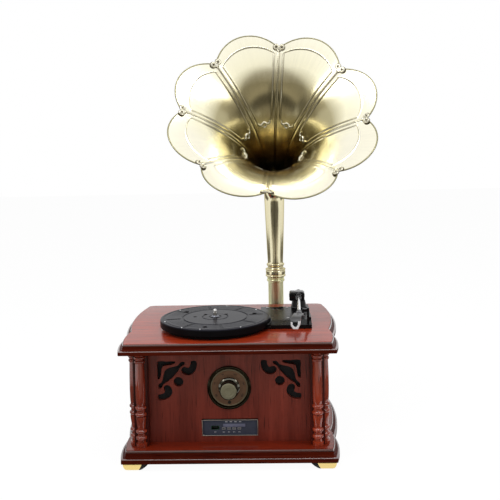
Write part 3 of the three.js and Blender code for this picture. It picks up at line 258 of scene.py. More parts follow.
def turned_metal(name, base, rough):
    """Rings left by a lathe, about the dial's axis."""
    f = Finish(name, base, rough, 1.0)
    own = f.node("TexCoord").outputs["Object"]
    centred = f.node("Mapping", Vector=own, Location=-at(0, 0, DIAL_Z)).outputs["Vector"]
    flat = f.numbered("VectorMath", centred, (1, 0, 1), operation="MULTIPLY")
    away = f.node("VectorMath", operation="LENGTH", Vector=flat).outputs["Value"]
    rings = f.noise(f.node("CombineXYZ", X=away).outputs["Vector"], 3200.0, 2.0)
    ringed = f.shade(0.35, base, rings, (0.3, 0.6), (0.7, 1.2))
    return f.done(Base_Color=f.shade(0.35, ringed, f.noise(60.0), (0.3, 0.75), (0.7, 1.1)),
                  Roughness=f.scaled(rings, rough * 0.8, rough * 1.25), Normal=f.bump(rings, 0.12, 0.0002))


def plastic(name, base, rough, texture=0.1, coat=0.0, level=0.35):
    """Moulded plastic with a faint pebble texture and uneven gloss."""
    f = Finish(name, base, rough, Coat_Weight=coat, Coat_Roughness=0.08, Specular_IOR_Level=level)
    pebble = f.noise(2600.0, detail=2.0)
    smear = f.noise(35.0, detail=4.0, rough=0.6)
    return f.done(Base_Color=f.shade(0.5, base, smear, (0.3, 0.75), (0.7, 1.25)),
                  Roughness=f.scaled(smear, rough * 0.8, rough * 1.2), Normal=f.bump(pebble, texture, 0.0001))


def woven_cloth(name):
    """Black speaker cloth: two crossed sets of threads."""
    f = Finish(name, (0.012, 0.011, 0.011), 0.9, Sheen_Weight=0.3)
    vector = f.place()
    threads = [f.node("TexWave", wave_type="BANDS", bands_direction=way, Vector=vector, Scale=420.0,
                      Distortion=0.4).outputs["Color"] for way in "XZ"]
    weave = f.mix(1.0, *threads, "MULTIPLY")
    return f.done(Base_Color=f.ramp(weave, (0.1, (0.006, 0.006, 0.006)), (0.9, (0.03, 0.028, 0.028))),
                  Normal=f.bump(weave, 0.5, 0.0004))


def circuit_board(name):
    f = Finish(name, (0.02, 0.12, 0.05), 0.4, Coat_Weight=0.6)
    cells = f.node("TexVoronoi", feature="DISTANCE_TO_EDGE", Scale=160.0, Vector=f.place())
    return f.done(Base_Color=f.ramp(cells.outputs["Distance"], (0.04, (0.05, 0.2, 0.08)),
                                    (0.08, (0.015, 0.09, 0.04))))


# Each finish: its slot, its maker, and what the maker takes after the name
FINISHES = {
    "mahogany upright": ("mahogany", lacquered_wood, (0.14, 0.02, 0.012), (0.27, 0.042, 0.024), "z", 0.5, 0.2,
                         24.0),
    # its rim of 0.18 darkens the boards' mouldings: painted shade
    "mahogany across": ("mahogany", lacquered_wood, (0.3, 0.024, 0.007), (0.54, 0.054, 0.014), "x", 0.36, 0.08,
                        22.0, 0.35, 0.18, 1.9),
    "mahogany columns": ("mahogany", lacquered_wood, (0.2, 0.018, 0.006), (0.42, 0.05, 0.014), "z", 0.9, 0.04,
                         22.0, 0.6, None, 1.8),
    # painted shade: a darker copy of the mahogany for the corner posts, seen only in the gaps beside the columns;
    # the back panel takes it too
    "dark mahogany": ("mahogany", lacquered_wood, (0.035, 0.004, 0.003), (0.09, 0.01, 0.006), "z", 0.3),
    "horn brass": ("antique_brass", horn_brass),
    "pipe brass": ("antique_brass", brushed_metal, (0.86, 0.79, 0.54), 0.12, (900, 900, 6), 0.15,
                   (0.5, 0.46, 0.32)),
    "rim brass": ("antique_brass", brushed_metal, (0.3, 0.28, 0.16), 0.36, 60, 0.1, (0.4, 0.38, 0.3)),
    "clip brass": ("pale_brass", brushed_metal, (0.8, 0.77, 0.64), 0.22, 300, 0.2, (0.5, 0.48, 0.38)),
    "dark brass": ("pale_brass", brushed_metal, (0.12, 0.1, 0.06), 0.4, 300, 0.2, (0.3, 0.28, 0.2)),
    "stem brass": ("antique_brass", brushed_metal, (0.97, 0.96, 0.62), 0.3, (900, 900, 6), 0.15,
                   (0.5, 0.46, 0.32), 0.97),
    "foot brass": ("yellow_brass", brushed_metal, (0.86, 0.66, 0.26), 0.24, (8, 700, 700), 0.2),
    "dial bronze": ("bronze", turned_metal, (0.3, 0.18, 0.12), 0.42),
    "bezel bronze": ("bronze", turned_metal, (0.06, 0.052, 0.032), 0.1),
    "ring bronze": ("bronze", turned_metal, (0.34, 0.29, 0.2), 0.4),
    "knob skirt": ("antique_brass", turned_metal, (0.15, 0.145, 0.12), 0.1),
    # painted shade: the knob's side is near black, a shaded copy of its brass
    "knob side": ("antique_brass", turned_metal, (0.012, 0.011, 0.009), 0.25),
    "knob face": ("antique_brass", turned_metal, (0.4, 0.38, 0.27), 0.55),
    "bright trim": ("steel", brushed_metal, (0.8, 0.78, 0.76), 0.15, 40, 0.1),
    "tonearm silver": ("silver", brushed_metal, (0.86, 0.86, 0.88), 0.22, (500, 5, 500), 0.12),
    "steel": ("steel", brushed_metal, (0.55, 0.55, 0.56), 0.3, (300, 300, 8), 0.25),
    "dull steel": ("steel", brushed_metal, (0.25, 0.26, 0.3), 0.35, 60, 0.2),
    "pale trim": ("antique_brass", brushed_metal, (0.5, 0.47, 0.42), 0.4, 40, 0.1),
    "black plastic": ("black_plastic", plastic, (0.012, 0.012, 0.014), 0.34, 0.25),
    "gloss black plastic": ("black_plastic", plastic, (0.006, 0.006, 0.008), 0.14, 0.05, 0.0, 0.3),
    "deck plastic": ("black_plastic", plastic, (0.008, 0.008, 0.009), 0.26, 0.15, 0.0, 0.1),
    "platter plastic": ("platter_plastic", plastic, (0.018, 0.018, 0.027), 0.24, 0.1, 0.0, 0.05),
    # painted shade: the platter's side, a darker copy of its top's plastic
    "platter skirt": ("platter_plastic", plastic, (0.004, 0.004, 0.005), 0.45, 0.1, 0.0, 0.06),
    # painted shade of openings: the platter's holes and the strip above the controls
    "painted opening shade": ("platter_plastic", plastic, (0.002, 0.002, 0.002), 0.9, 0.02, 0.0, 0.0),
    "grey plastic": ("grey_plastic", plastic, (0.1, 0.1, 0.105), 0.34, 0.2, 0.0, 0.3),
    "pale grey plastic": ("grey_plastic", plastic, (0.25, 0.25, 0.27), 0.32),
    "dark grey plastic": ("grey_plastic", plastic, (0.035, 0.035, 0.037), 0.34, 0.1, 0.0, 0.3),
    "key plastic": ("grey_plastic", plastic, (0.46, 0.46, 0.47), 0.3),
    "pale marking": ("grey_plastic", plastic, (0.75, 0.75, 0.78), 0.5, 0.05),
    "white plastic": ("white_plastic", plastic, (0.98, 0.95, 0.97), 0.25, 0.05, 1.0, 0.5),
    "slate panel": ("slate_plastic", plastic, (0.07, 0.08, 0.115), 0.25, 0.05, 0.0, 0.2),
    "display window": ("slate_plastic", plastic, (0.19, 0.2, 0.29), 0.1, 0.02, 0.0, 0.4),
    "dark marking": ("bronze", plastic, (0.02, 0.014, 0.008), 0.5, 0.05),
    "rubber": ("rubber", plastic, (0.014, 0.014, 0.014), 0.8, 0.6),
    "red ring": ("black_plastic", plastic, (0.45, 0.02, 0.02), 0.35),
    "speaker cone": ("black_plastic", plastic, (0.02, 0.02, 0.02), 0.85, 0.8),
    "grille cloth": ("grille_cloth", woven_cloth),
    "circuit": ("green_board", circuit_board),
}
MATERIALS = {name: maker(name, *values) for name, (_, maker, *values) in FINISHES.items()}


# Mesh helpers
def put(obj, finish, body, *nodes, slot=None):
    """Gives a piece its finish and body, and says which CAD nodes it stands for. Its slot is not used."""
    obj.data.materials.clear()
    obj.data.materials.append(MATERIALS[finish])
    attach(obj, body)
    if nodes:
        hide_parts(*nodes)


def new_object(name, data):
    obj = bpy.data.objects.new(name, data)
    bpy.context.scene.collection.objects.link(obj)
    return obj


def built(name, build, angle=40, smooth=True):
    """An object from a bmesh, sharp where its faces turn by more than an angle in degrees."""
    mesh = bpy.data.meshes.new(name)
    build.to_mesh(mesh)
    build.free()
    if smooth:
        mesh.polygons.foreach_set("use_smooth", [True] * len(mesh.polygons))
    mesh.set_sharp_from_angle(angle=math.radians(angle))
    return new_object(name, mesh)


def mesh_object(name, points, faces, angle=35):
    mesh = bpy.data.meshes.new(name)
    mesh.from_pydata([tuple(p) for p in points], [], faces)
    mesh.validate()
    build = bmesh.new()
    build.from_mesh(mesh)
    bpy.data.meshes.remove(mesh)
    bmesh.ops.recalc_face_normals(build, faces=build.faces)
    return built(name, build, angle)


def point_values(obj, name, values, kind="FLOAT"):
    field = "vector" if kind == "FLOAT_VECTOR" else "value"
    obj.data.attributes.new(name, kind, "POINT").data.foreach_set(field, values)


def skin(rings, loop=False):
    """Points and faces that join rings of equal length, one to the next, with caps unless looped."""
    count = len(rings[0])
    points = [p for ring in rings for p in ring]
    faces = []
    for level in range(len(rings) if loop else len(rings) - 1):
        low = level * count
        high = ((level + 1) % len(rings)) * count
        for i in range(count):
            j = (i + 1) % count
            faces.append((low + i, low + j, high + j, high + i))
    if not loop:
        faces.append(tuple(range(count))[::-1])
        faces.append(tuple(range((len(rings) - 1) * count, len(rings) * count)))
    return points, faces


def polar(turn, upright=False):
    """A unit direction turned from +x towards +y, or towards +z if upright."""
    across, rise = math.cos(turn), math.sin(turn)
    return Vector((across, 0, rise)) if upright else Vector((across, rise, 0))


def raised(height):
    return Vector((0, 0, height * MM))


def lathe(name, profile, centre=Vector(), axis=(0, 0, 1), steps=96, loop=False, angle=35):
    """Turns [radius, height] points, in mm, about an axis through centre, in metres."""
    along = Vector(axis)
    right = Vector((1, 0, 0)) if along.z else Vector((0, 0, 1)).cross(along)
    up = along.cross(right)
    rings = []
    for radius, height in profile:
        ring = []
        for i in range(steps):
            turn = 2 * math.pi * i / steps
            spoke = right * math.cos(turn) + up * math.sin(turn)
            ring.append(centre + along * height * MM + spoke * max(radius, 0.001) * MM)
        rings.append(ring)
    return mesh_object(name, *skin(rings, loop), angle)


def arc(cx, cy, rx, ry, start, end, steps=8):
    """Points of an elliptic arc from start to end, in degrees."""
    found = []
    for i in range(steps + 1):
        turn = math.radians(start + (end - start) * i / steps)
        found.append((cx + rx * math.cos(turn), cy + ry * math.sin(turn)))
    return found


def ease_edges(build, edges, bevel, segments):
    bmesh.ops.bevel(build, geom=edges, offset=bevel * MM, segments=segments, profile=0.5, affect="EDGES",
                    clamp_overlap=True)


def bar(name, low, high, bevel, segments=3, shift=SHIFT):
    """A block between two corners, in mm, with rounded edges."""
    low, high = Vector(low) * MM + shift, Vector(high) * MM + shift
    size, centre = high - low, (high + low) / 2
    build = bmesh.new()
    bmesh.ops.create_cube(build, size=1.0)
    for vertex in build.verts:
        vertex.co = size * vertex.co + centre
    ease_edges(build, build.edges[:], bevel, segments)
    return built(name, build)


def slab(name, outline, thickness, transform, bevel=0.0, segments=2):
    """An outline of [x, y] points, in mm, made thick along z and placed by a matrix."""
    build = bmesh.new()
    face = build.faces.new([build.verts.new((x * MM, y * MM, 0)) for x, y in outline])
    made = bmesh.ops.extrude_face_region(build, geom=[face])
    lifted = [g for g in made["geom"] if isinstance(g, bmesh.types.BMVert)]
    bmesh.ops.translate(build, verts=lifted, vec=(0, 0, thickness * MM))
    bmesh.ops.recalc_face_normals(build, faces=build.faces)
    if bevel:
        sharp = [e for e in build.edges if e.calc_face_angle(0) > math.radians(50)]
        ease_edges(build, sharp, bevel, segments)
    bmesh.ops.transform(build, matrix=transform, verts=build.verts)
    return built(name, build)


def tube(name, path, radius, steps=10, closed=False):
    """A round tube along points in metres; its radius is in mm."""
    count = len(path)
    rings = []
    side = None
    for i, point in enumerate(path):
        before = path[(i - 1) % count] if closed or i > 0 else point
        after = path[(i + 1) % count] if closed or i < count - 1 else point
        along = (after - before).normalized()
        if side is None:
            side = along.orthogonal().normalized()
        side = (side - along * side.dot(along)).normalized()
        other = along.cross(side)
        ring = []
        for k in range(steps):
            turn = 2 * math.pi * k / steps
            ring.append(point + (side * math.cos(turn) + other * math.sin(turn)) * radius * MM)
        rings.append(ring)
    return mesh_object(name, *skin(rings, closed), 60)


def joined(name, objects):
    """Joins meshes of one finish into one piece."""
    build = bmesh.new()
    for obj in objects:
        mesh = obj.data
        build.from_mesh(mesh)
        bpy.data.objects.remove(obj)
        bpy.data.meshes.remove(mesh)
    return built(name, build, smooth=False)


def figures(name, words, size, depth, transform):
    """Raised figures, of a height in mm, placed by a matrix."""
    curve = bpy.data.curves.new(name, "FONT")
    curve.body = words
    curve.size = size * MM
    curve.align_x = curve.align_y = "CENTER"
    curve.extrude = depth * MM
    maker = new_object(name, curve)
    bpy.context.view_layer.update()
    mesh = bpy.data.meshes.new_from_object(maker)
    bpy.data.objects.remove(maker)
    mesh.transform(transform)
    return new_object(name, mesh)


# CAD nodes that are shown as they are: finish, width of the rounded edges in mm, least angle, segments
KEPT_NODES = {
    "front_panel": ("mahogany upright", 0.5, 40),
    **{f"{side}_side_panel": ("mahogany upright", 0.6) for side in ("left", "right")},
    # the corner posts' darker mahogany is painted shade in the gaps beside the columns
    **{f"corner_post_{end}_{side}": ("dark mahogany", 1.0)
       for end in ("front", "rear") for side in ("left", "right")},
    "back_panel": ("dark mahogany", 0.5),
    **{f"{side}_speaker": ("speaker cone",) for side in ("left", "right")},
    "main_board": ("circuit",),
    "motor": ("steel",),
    "motor_pulley": ("black plastic",),
    "drive_belt": ("rubber",),
    "jack_plate": ("black plastic", 0.3),
    "control_panel": ("slate panel", 0.2),
    **{f"button_{i}": ("key plastic",) for i in range(1, 5)},
    "deck_plate": ("deck plastic", 0.7, 28, 3),
    "speed_switch": ("black plastic", 0.4),
    "cue_lever": ("grey plastic", 0.5),
    "arm_rest": ("deck plastic", 0.5),
    "spindle": ("steel",),
    "arm_base": ("black plastic",),
}


def keep_node(name, finish, width=0.0, angle=30, segments=2):
    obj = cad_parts[name]
    obj.data.materials.clear()
    obj.data.materials.append(MATERIALS[finish])
    if width:
        weld = obj.modifiers.new("weld", "WELD")
        weld.merge_threshold = 0.00001
        rounding = obj.modifiers.new("rounded edges", "BEVEL")
        rounding.width = width * MM
        rounding.segments = segments
        rounding.limit_method = "ANGLE"
        rounding.angle_limit = math.radians(angle)
        rounding.harden_normals = True


# Cabinet boards
def quadratic(start, control, end, steps):
    found = []
    for i in range(steps):
        t = i / steps
        found.append(tuple(a * (1 - t) ** 2 + b * 2 * t * (1 - t) + c * t * t
                           for a, b, c in zip(start, control, end)))
    return found


def board_outline():
    """Serpentine sides: an ear at the front, a cusp, then a long bow to the rear corner."""
    half = TOP_WIDTH / 2 + LIP
    edge = TOP_DEPTH / 2 + LIP
    cusp_x, cusp_y = half + CUSP, EAR - edge
    rear_x, bow_end = half + REAR, edge - REAR_CORNER
    right = quadratic((half, -edge), ((half + cusp_x) / 2 + EAR_BULGE * 2, (cusp_y - edge) / 2),
                      (cusp_x, cusp_y), 16)
    right += quadratic((cusp_x, cusp_y), ((cusp_x + rear_x) / 2 + BOW * 2, (cusp_y + bow_end) / 2),
                       (rear_x, bow_end), 24)
    right += quadratic((rear_x, bow_end), (rear_x, edge), (rear_x - REAR_CORNER, edge), 8)
    right.append((rear_x - REAR_CORNER, edge))
    return right + [(-x, y) for x, y in reversed(right)]


# Drop below the board's top and inset from its lip, as shares of the thickness and of the lip
MOULDING = [
    (0.99, 0.12), (0.97, 0.04), (0.94, 0.01), (0.9, 0.0), (0.66, 0.0), (0.635, 0.015), (0.612, 0.05),
    (0.592, 0.11), (0.58, 0.18), (0.573, 0.26), (0.567, 0.36), (0.56, 0.46), (0.545, 0.55), (0.515, 0.63),
    (0.47, 0.69), (0.41, 0.735), (0.34, 0.765), (0.27, 0.785), (0.21, 0.795), (0.18, 0.8), (0.15, 0.8),
    (0.12, 0.81), (0.08, 0.84), (0.045, 0.88), (0.02, 0.93), (0.005, 0.97),
]


def board(name, node_name, bottom, thickness, flat_painted_shade):
    """A moulded board. Its corners between the hollows are polished. Its moulding is darkened by painted shade,
    and its flat top by the share given last.
    """
    half = TOP_WIDTH / 2 + LIP
    edge = TOP_DEPTH / 2 + LIP
    outline = board_outline()
    rings = []
    for drop, inset in [(1, 0.2), *MOULDING, (0, 1)]:
        narrow_x = 1 - LIP * inset / half
        narrow_y = 1 - LIP * inset / edge
        rings.append([at(x * narrow_x, y * narrow_y, bottom + thickness * (1 - drop)) for x, y in outline])
    obj = mesh_object(name, *skin(rings), 28)
    count = len(outline)
    crests = [1.0 if 0.02 < drop <= 0.2 or 0.57 <= drop <= 0.64 else 0.0 for drop, _ in MOULDING]
    # painted shade: the moulding rings are darkened in full, the last at 0.7, and the flat top by its share
    point_values(obj, "edge", [1.0] * count * len(MOULDING) + [0.7] * count + [flat_painted_shade] * count)
    point_values(obj, "polish", [value for value in [0.0, *crests, 0.3] for _ in range(count)])
    put(obj, "mahogany across", "cabinet", node_name)


def cabinet_boards():
    # painted shade on the base board's flat top, under the cabinet: 0.6; the top board's flat top takes none
    board("base_moulding", "base_board", FOOT_HEIGHT, BASE_BOARD, 0.6)
    board("top_moulding", "top_board", BODY_TOP, TOP_BOARD, 0.0)


# A turned column from its foot up: height and radius, or a bead's middle, half height and two radii
COLUMN_PARTS = [
    (0.0, 9.4), (1.0, 9.5), (6.0, 9.5), (7.0, 7.2), (10.5, 6.9), (15.6, 3.6, 6.9, 9.6), (20.0, 6.6),
    (22.6, 6.6), (27.1, 3.2, 6.6, 9.6), (31.0, 6.4), (36.0, 7.0), (43.0, 8.0), (50.0, 8.7), (52.6, 8.5),
    (53.0, 7.2), (56.6, 3.2, 7.2, 9.7), (60.4, 7.1), (63.6, 7.1), (68.1, 3.2, 7.1, 9.7), (72.0, 7.6),
    (80.0, 8.2), (96.0, 8.5), (120.0, 8.3), (144.0, 7.6), (148.0, 2.6, 7.6, 9.3), (151.0, 7.8),
    (155.0, 2.8, 7.8, 9.8), (158.6, 8.0), (160.0, 8.4), (161.0, 9.5), (165.0, 9.5),
]


def column_profile():
    profile = []
    for height, *part in COLUMN_PARTS:
        if len(part) == 1:
            profile.append((part[0], height))
            continue
        half, low, high = part
        for i in range(9):
            turn = math.pi * i / 8
            profile.append((low + (high - low) * math.sin(turn), height - half * math.cos(turn)))
    return profile


def half_column(name, node_name, x, y, facing):
    """A half-round column whose flat back lies on a post; facing is the way it bulges, in degrees."""
    steps = 28
    turns = [math.radians(facing - 90) + math.pi * i / steps for i in range(steps + 1)]
    rings = [[at(x + radius * math.cos(turn), y + radius * math.sin(turn), BODY_BOTTOM + height)
              for turn in turns] for radius, height in column_profile()]
    put(mesh_object(name, *skin(rings), 32), "mahogany columns", "cabinet", node_name)


def columns():
    centre_x, centre_y = POST_X - POST / 2, POST_Y - POST / 2
    for side, sign in (("left", -1), ("right", 1)):
        half_column(f"turned_front_{side}", f"front_column_{side}", sign * centre_x, -POST_Y, -90)
        for end, way in (("front", -1), ("rear", 1)):
            half_column(f"turned_side_{end}_{side}", f"side_column_{end}_{side}", sign * POST_X,
                        way * centre_y, 0 if sign > 0 else 180)


# Feet: brass buns whose dark inner side, a piece in black rubber, is painted shade. Their swell: share of the
# height, and inset in mm
FOOT_SWELL = [(0, 5.0), (0.03, 4.2), (0.1, 3.2), (0.22, 2.2), (0.4, 1.2), (0.65, 0.4), (0.9, 0.0), (0.97, 0.1),
              (1, 0.4)]


def rounded_square(x0, x1, y0, y1, radius):
    found = []
    for cx, cy, start in ((x1 - radius, y1 - radius, 0), (x0 + radius, y1 - radius, 90),
                          (x0 + radius, y0 + radius, 180), (x1 - radius, y0 + radius, 270)):
        found += arc(cx, cy, radius, radius, start, start + 90, 6)
    return found


def foot_piece(name, node_name, sign, spread, radius):
    """Part of a foot: spread gives shares of its height, inset, and start and end as shares of its width."""
    low, high = corners(node_name)
    rings = []
    for lift, inset, start, end in spread:
        width = high.x - low.x
        outer = start * width + (inset * MM if start == 0 else 0)
        x0, x1 = (low.x + outer, low.x + end * width) if sign < 0 else (high.x - end * width, high.x - outer)
        loop = rounded_square(x0 / MM, x1 / MM, low.y / MM + inset, high.y / MM - inset, radius)
        rings.append([Vector((x * MM, y * MM, low.z + (high.z - low.z) * lift)) for x, y in loop])
    return mesh_object(name, *skin(rings), 40)


def feet():
    shell = [(lift, inset, 0, 0.76 - 0.14 * (1 - lift) ** 1.3) for lift, inset in FOOT_SWELL]
    # painted shade: a dark rubber piece forms the inner side of each foot
    shaded_side = [(lift, inset + 0.5, 0.45, 1 - 0.3 * (1 - lift) ** 1.3) for lift, inset in FOOT_SWELL]
    for end in ("front", "rear"):
        for side, sign in (("left", -1), ("right", 1)):
            node = f"foot_{end}_{side}"
            put(foot_piece(f"foot_shell_{end}_{side}", node, sign, shell, 2.4), "foot brass", "cabinet", node)
            put(foot_piece(f"foot_painted_shade_{end}_{side}", node, sign, shaded_side, 3.5), "rubber", "cabinet")


def inside():
    """Rings of the sound sockets, and the speakers' cones."""
    profile = [(4.3, 0), (6.4, 0), (6.4, 1.0), (5.6, 1.6), (4.3, 1.6)]
    for x, finish, name in ((-107, "red ring", "red"), (-90, "white plastic", "white")):
        put(lathe(f"socket_ring_{name}", profile, at(x, BACK_Y + 2.5, 76), BACKWARD, 40, True), finish,
            "cabinet")
    profile = [(6.6, 8.4), (9.0, 8.0), (26.5, 2.4), *arc(28.6, 2.2, 2.1, 1.8, 180, 360), (31.4, 2.4), (31.4, 2.9),
               (9.0, 8.6), (6.6, 9.0)]
    for side in ("left", "right"):
        low, high = corners(f"{side}_speaker")
        face = Vector(((low.x + high.x) / 2, low.y, (low.z + high.z) / 2))
        put(lathe(f"{side}_cone", profile, face, BACKWARD, 64, True), "speaker cone", "cabinet")


def grille():
    """The cloth behind the scrolls, cut out round the dial."""
    low, high = corners("grille_cloth")
    near, far = at(-CLOTH_NOTCH, 0, CLOTH_NOTCH_TOP), at(CLOTH_NOTCH, 0, CLOTH_NOTCH_TOP)
    outline = [(high.x, low.z), (high.x, high.z), (low.x, high.z), (low.x, low.z), (near.x, low.z),
               (near.x, near.z), (far.x, far.z), (far.x, low.z)]
    points = [(x, low.y, z) for x, z in outline] + [(x, high.y, z) for x, z in outline]
    count = len(outline)
    faces = [tuple(range(count)), tuple(range(count, 2 * count))[::-1]]
    for i in range(count):
        j = (i + 1) % count
        faces.append((i, j, count + j, count + i))
    sheet = mesh_object("speaker_cloth", points, faces)
    put(sheet, "grille cloth", "cabinet", "grille_cloth")


# Front: dial and control panel
def dial():
    """Bezel, face with its scale, and a stepped knob."""
    centre = at(0, PANEL_Y, DIAL_Z)
    inner = BEZEL - BEZEL_WIDTH
    face, thick = inner - 0.3, FACE_THICK
    base = FACE_THICK + 0.5
    foot = base + SKIRT_DEPTH
    top, cap = KNOB_REACH, KNOB - 1.4

    def turned(name, profile, finish, body, *nodes, loop=True):
        put(lathe(name, profile, centre, FRONTWARD, 128, loop, 40), finish, body, *nodes)

    profile = [(BEZEL, 0), (BEZEL, 1.0), (BEZEL - 0.3, 1.6), *arc(BEZEL - 1.9, 2.4, 1.6, 1.9, -10, 80, 6)]
    profile += [(BEZEL - 2.3, 3.6), *arc(BEZEL - 3.6, 3.4, 1.2, 1.6, 60, 150, 6)]
    profile += [(inner + 0.5, 3.2), (inner + 0.15, 2.6), (inner, 2.0), (inner, 0)]
    turned("dial_rim", profile, "bezel bronze", "cabinet", "dial_bezel")
    profile = [(4, 0), (face, 0), (face, thick - 0.4), (SKIRT + 2.4, thick - 0.35), (SKIRT + 2.1, thick),
               (SKIRT + 1.2, thick), (4, thick)]
    turned("dial_plate", profile, "dial bronze", "cabinet", "dial_face")
    profile = [(face - 2.2, 1.0), (face, 1.0), (face, thick - 0.1), (face - 0.4, thick + 0.2),
               (face - 1.8, thick + 0.2), (face - 2.2, thick - 0.1)]
    turned("dial_edge", profile, "ring bronze", "cabinet")
    dial_scale(centre)
    profile = [(2.0, base), (SKIRT - 0.4, base), (SKIRT, base + 0.4), (SKIRT, base + 0.7)]
    for i in range(9):
        t = i / 8
        rise = foot - base - 0.8
        profile.append((SKIRT - 0.1 - 3.2 * t, base + 0.8 + rise * (t + 0.25 * t * (1 - t))))
    turned("knob_skirt", profile + [(2.0, foot)], "knob skirt", "knob_body")
    profile = [(0.5, -10.5), (3, -10.5), (3, foot - 0.6), (KNOB, foot - 0.6), (KNOB, top - 1.4)]
    profile += arc(KNOB - 1.0, top - 1.4, 1.0, 1.0, 0, 70, 5)
    profile += [(KNOB - 1.2, top - 0.5), (KNOB - 1.3, top - 1.2), (0.5, top - 1.2)]
    # painted shade on the knob's side
    turned("knob_body", profile, "knob side", "knob_body", "tuning_knob", loop=False)
    profile = [(0.4, top - 1.2), (cap, top - 1.2), (cap, top - 0.6), (cap - 0.3, top - 0.4),
               (cap - 4.6, top - 0.4), (cap - 4.9, top - 0.7), (cap - 5.4, top - 0.7), (cap - 5.7, top - 0.4),
               (cap - 9.0, top - 0.4), (cap - 9.3, top - 0.7), (0.4, top - 0.9)]
    turned("knob_disc", profile, "knob face", "knob_body", loop=False)


def dial_scale(centre):
    """Plain frequency numbers and ticks round the face."""
    face = centre + Vector((0, -(FACE_THICK - 0.28) * MM, 0))
    facing = Matrix.Rotation(math.pi / 2, 4, "X")
    marks = []
    for i, number in enumerate(("88", "92", "96", "100", "104", "108")):
        turn = math.radians(210 - 48 * i)
        place = Matrix.Translation(face + polar(turn, upright=True) * 25.8 * MM)
        tilt = Matrix.Rotation(math.radians(90 - math.degrees(turn)), 4, "Y")
        marks.append(figures(f"number{i}", number, 4.6, 0.12, place @ (tilt @ facing)))
    for i in range(41):
        spoke = polar(math.radians(210 - 6 * i), upright=True)
        length = 2.0 if i % 4 == 0 else 1.2
        start = face + spoke * 21.7 * MM
        marks.append(tube(f"tick{i}", [start, start + spoke * length * MM], 0.16, 5))
    dot = [(0.1, 0), (2.9, 0), (2.9, 0.3), (0.1, 0.4)]
    marks.append(lathe("dial dot", dot, face + raised(-25.6), FRONTWARD, 24))
    put(joined("dial_scale", marks), "dark marking", "cabinet")


def controls():
    """Bright frame, display window, keys, socket and plain symbols on the slate panel."""
    half, middle = CONTROL_WIDTH / 2, CONTROL_Z
    low, high = middle - CONTROL_HEIGHT / 2, middle + CONTROL_HEIGHT / 2
    front, plate, key_z = PANEL_Y - 0.8, PANEL_Y + 2.5, middle - 2.1
    back = front + 1.5
    rims = [bar("rim", (x - 0.7, front, low), (x + 0.7, back, high), 0.4) for x in (0.7 - half, half - 0.7)]
    rims.append(bar("rim", (-half, front, low), (half, back, low + 1.4), 0.4))
    rims.append(bar("rim", (-half, front, high - 1.1), (half, back, high), 0.4))
    put(joined("control_frame", rims), "pale trim", "cabinet")
    # painted shadow: a matte black strip on the panel above the frame, where its cut-out shows dark
    painted_shadow_strip = bar("control_painted_shadow", (-half, PANEL_Y - 0.1, high + 0.1), (half, PANEL_Y + 0.6, high + 1.9), 0.05)
    put(painted_shadow_strip, "painted opening shade", "cabinet", slot="black_plastic")
    put(bar("display_window", (-12.2, plate - 0.8, middle + 0.7), (26.5, plate, middle + 6.2), 0.3),
        "display window", "cabinet")
    symbols = []
    for x in (-26, -11.3, -2.2, 6.9, 16.0):
        symbols += play_symbol(x, plate, middle - 8.5)
    for x in (-6.5, 1.5, 9.5, 17.5):
        symbols.append(bar("caption", (x - 2, plate - 0.15, middle + 9.1), (x + 2, plate, middle + 10.3), 0.05, 1))
    put(joined("control_symbols", symbols), "pale marking", "cabinet")
    for i in range(4):
        x = -11.3 + 9.1 * i
        cap = bar(f"button_cap_{i + 1}", (x - 3, plate - 1, key_z - 1.7), (x + 3, plate + 5, key_z + 1.7), 0.5)
        put(cap, "key plastic", f"button_{i + 1}_body")
    walls = [(-33, -3.95, -19, -3.15), (-33, 1.75, -19, 2.55), (-33, -3.95, -32.2, 2.55),
             (-19.8, -3.95, -19, 2.55)]
    shell = [bar("shell", (x0, plate, middle + z0), (x1, plate + 7, middle + z1), 0.2, 2)
             for x0, z0, x1, z1 in walls]
    put(joined("usb_shell", shell), "dull steel", "cabinet")
    tongue = bar("usb_tongue", (-31.2, plate + 1.4, middle - 1.2), (-20.8, plate + 8.5, middle + 0.5), 0.2)
    put(tongue, "black plastic", "cabinet")


def play_symbol(x, y, z):
    """A small triangle and bar, as on any player's keys."""
    facing = Matrix.Translation(at(x, y, z)) @ Matrix.Rotation(math.pi / 2, 4, "X")
    return [bar("bar", (x + 0.9, y - 0.15, z - 0.9), (x + 1.4, y, z + 0.9), 0.05, 1),
            slab("triangle", [(-1.4, -0.9), (0.5, 0.0), (-1.4, 0.9)], 0.15, facing)]


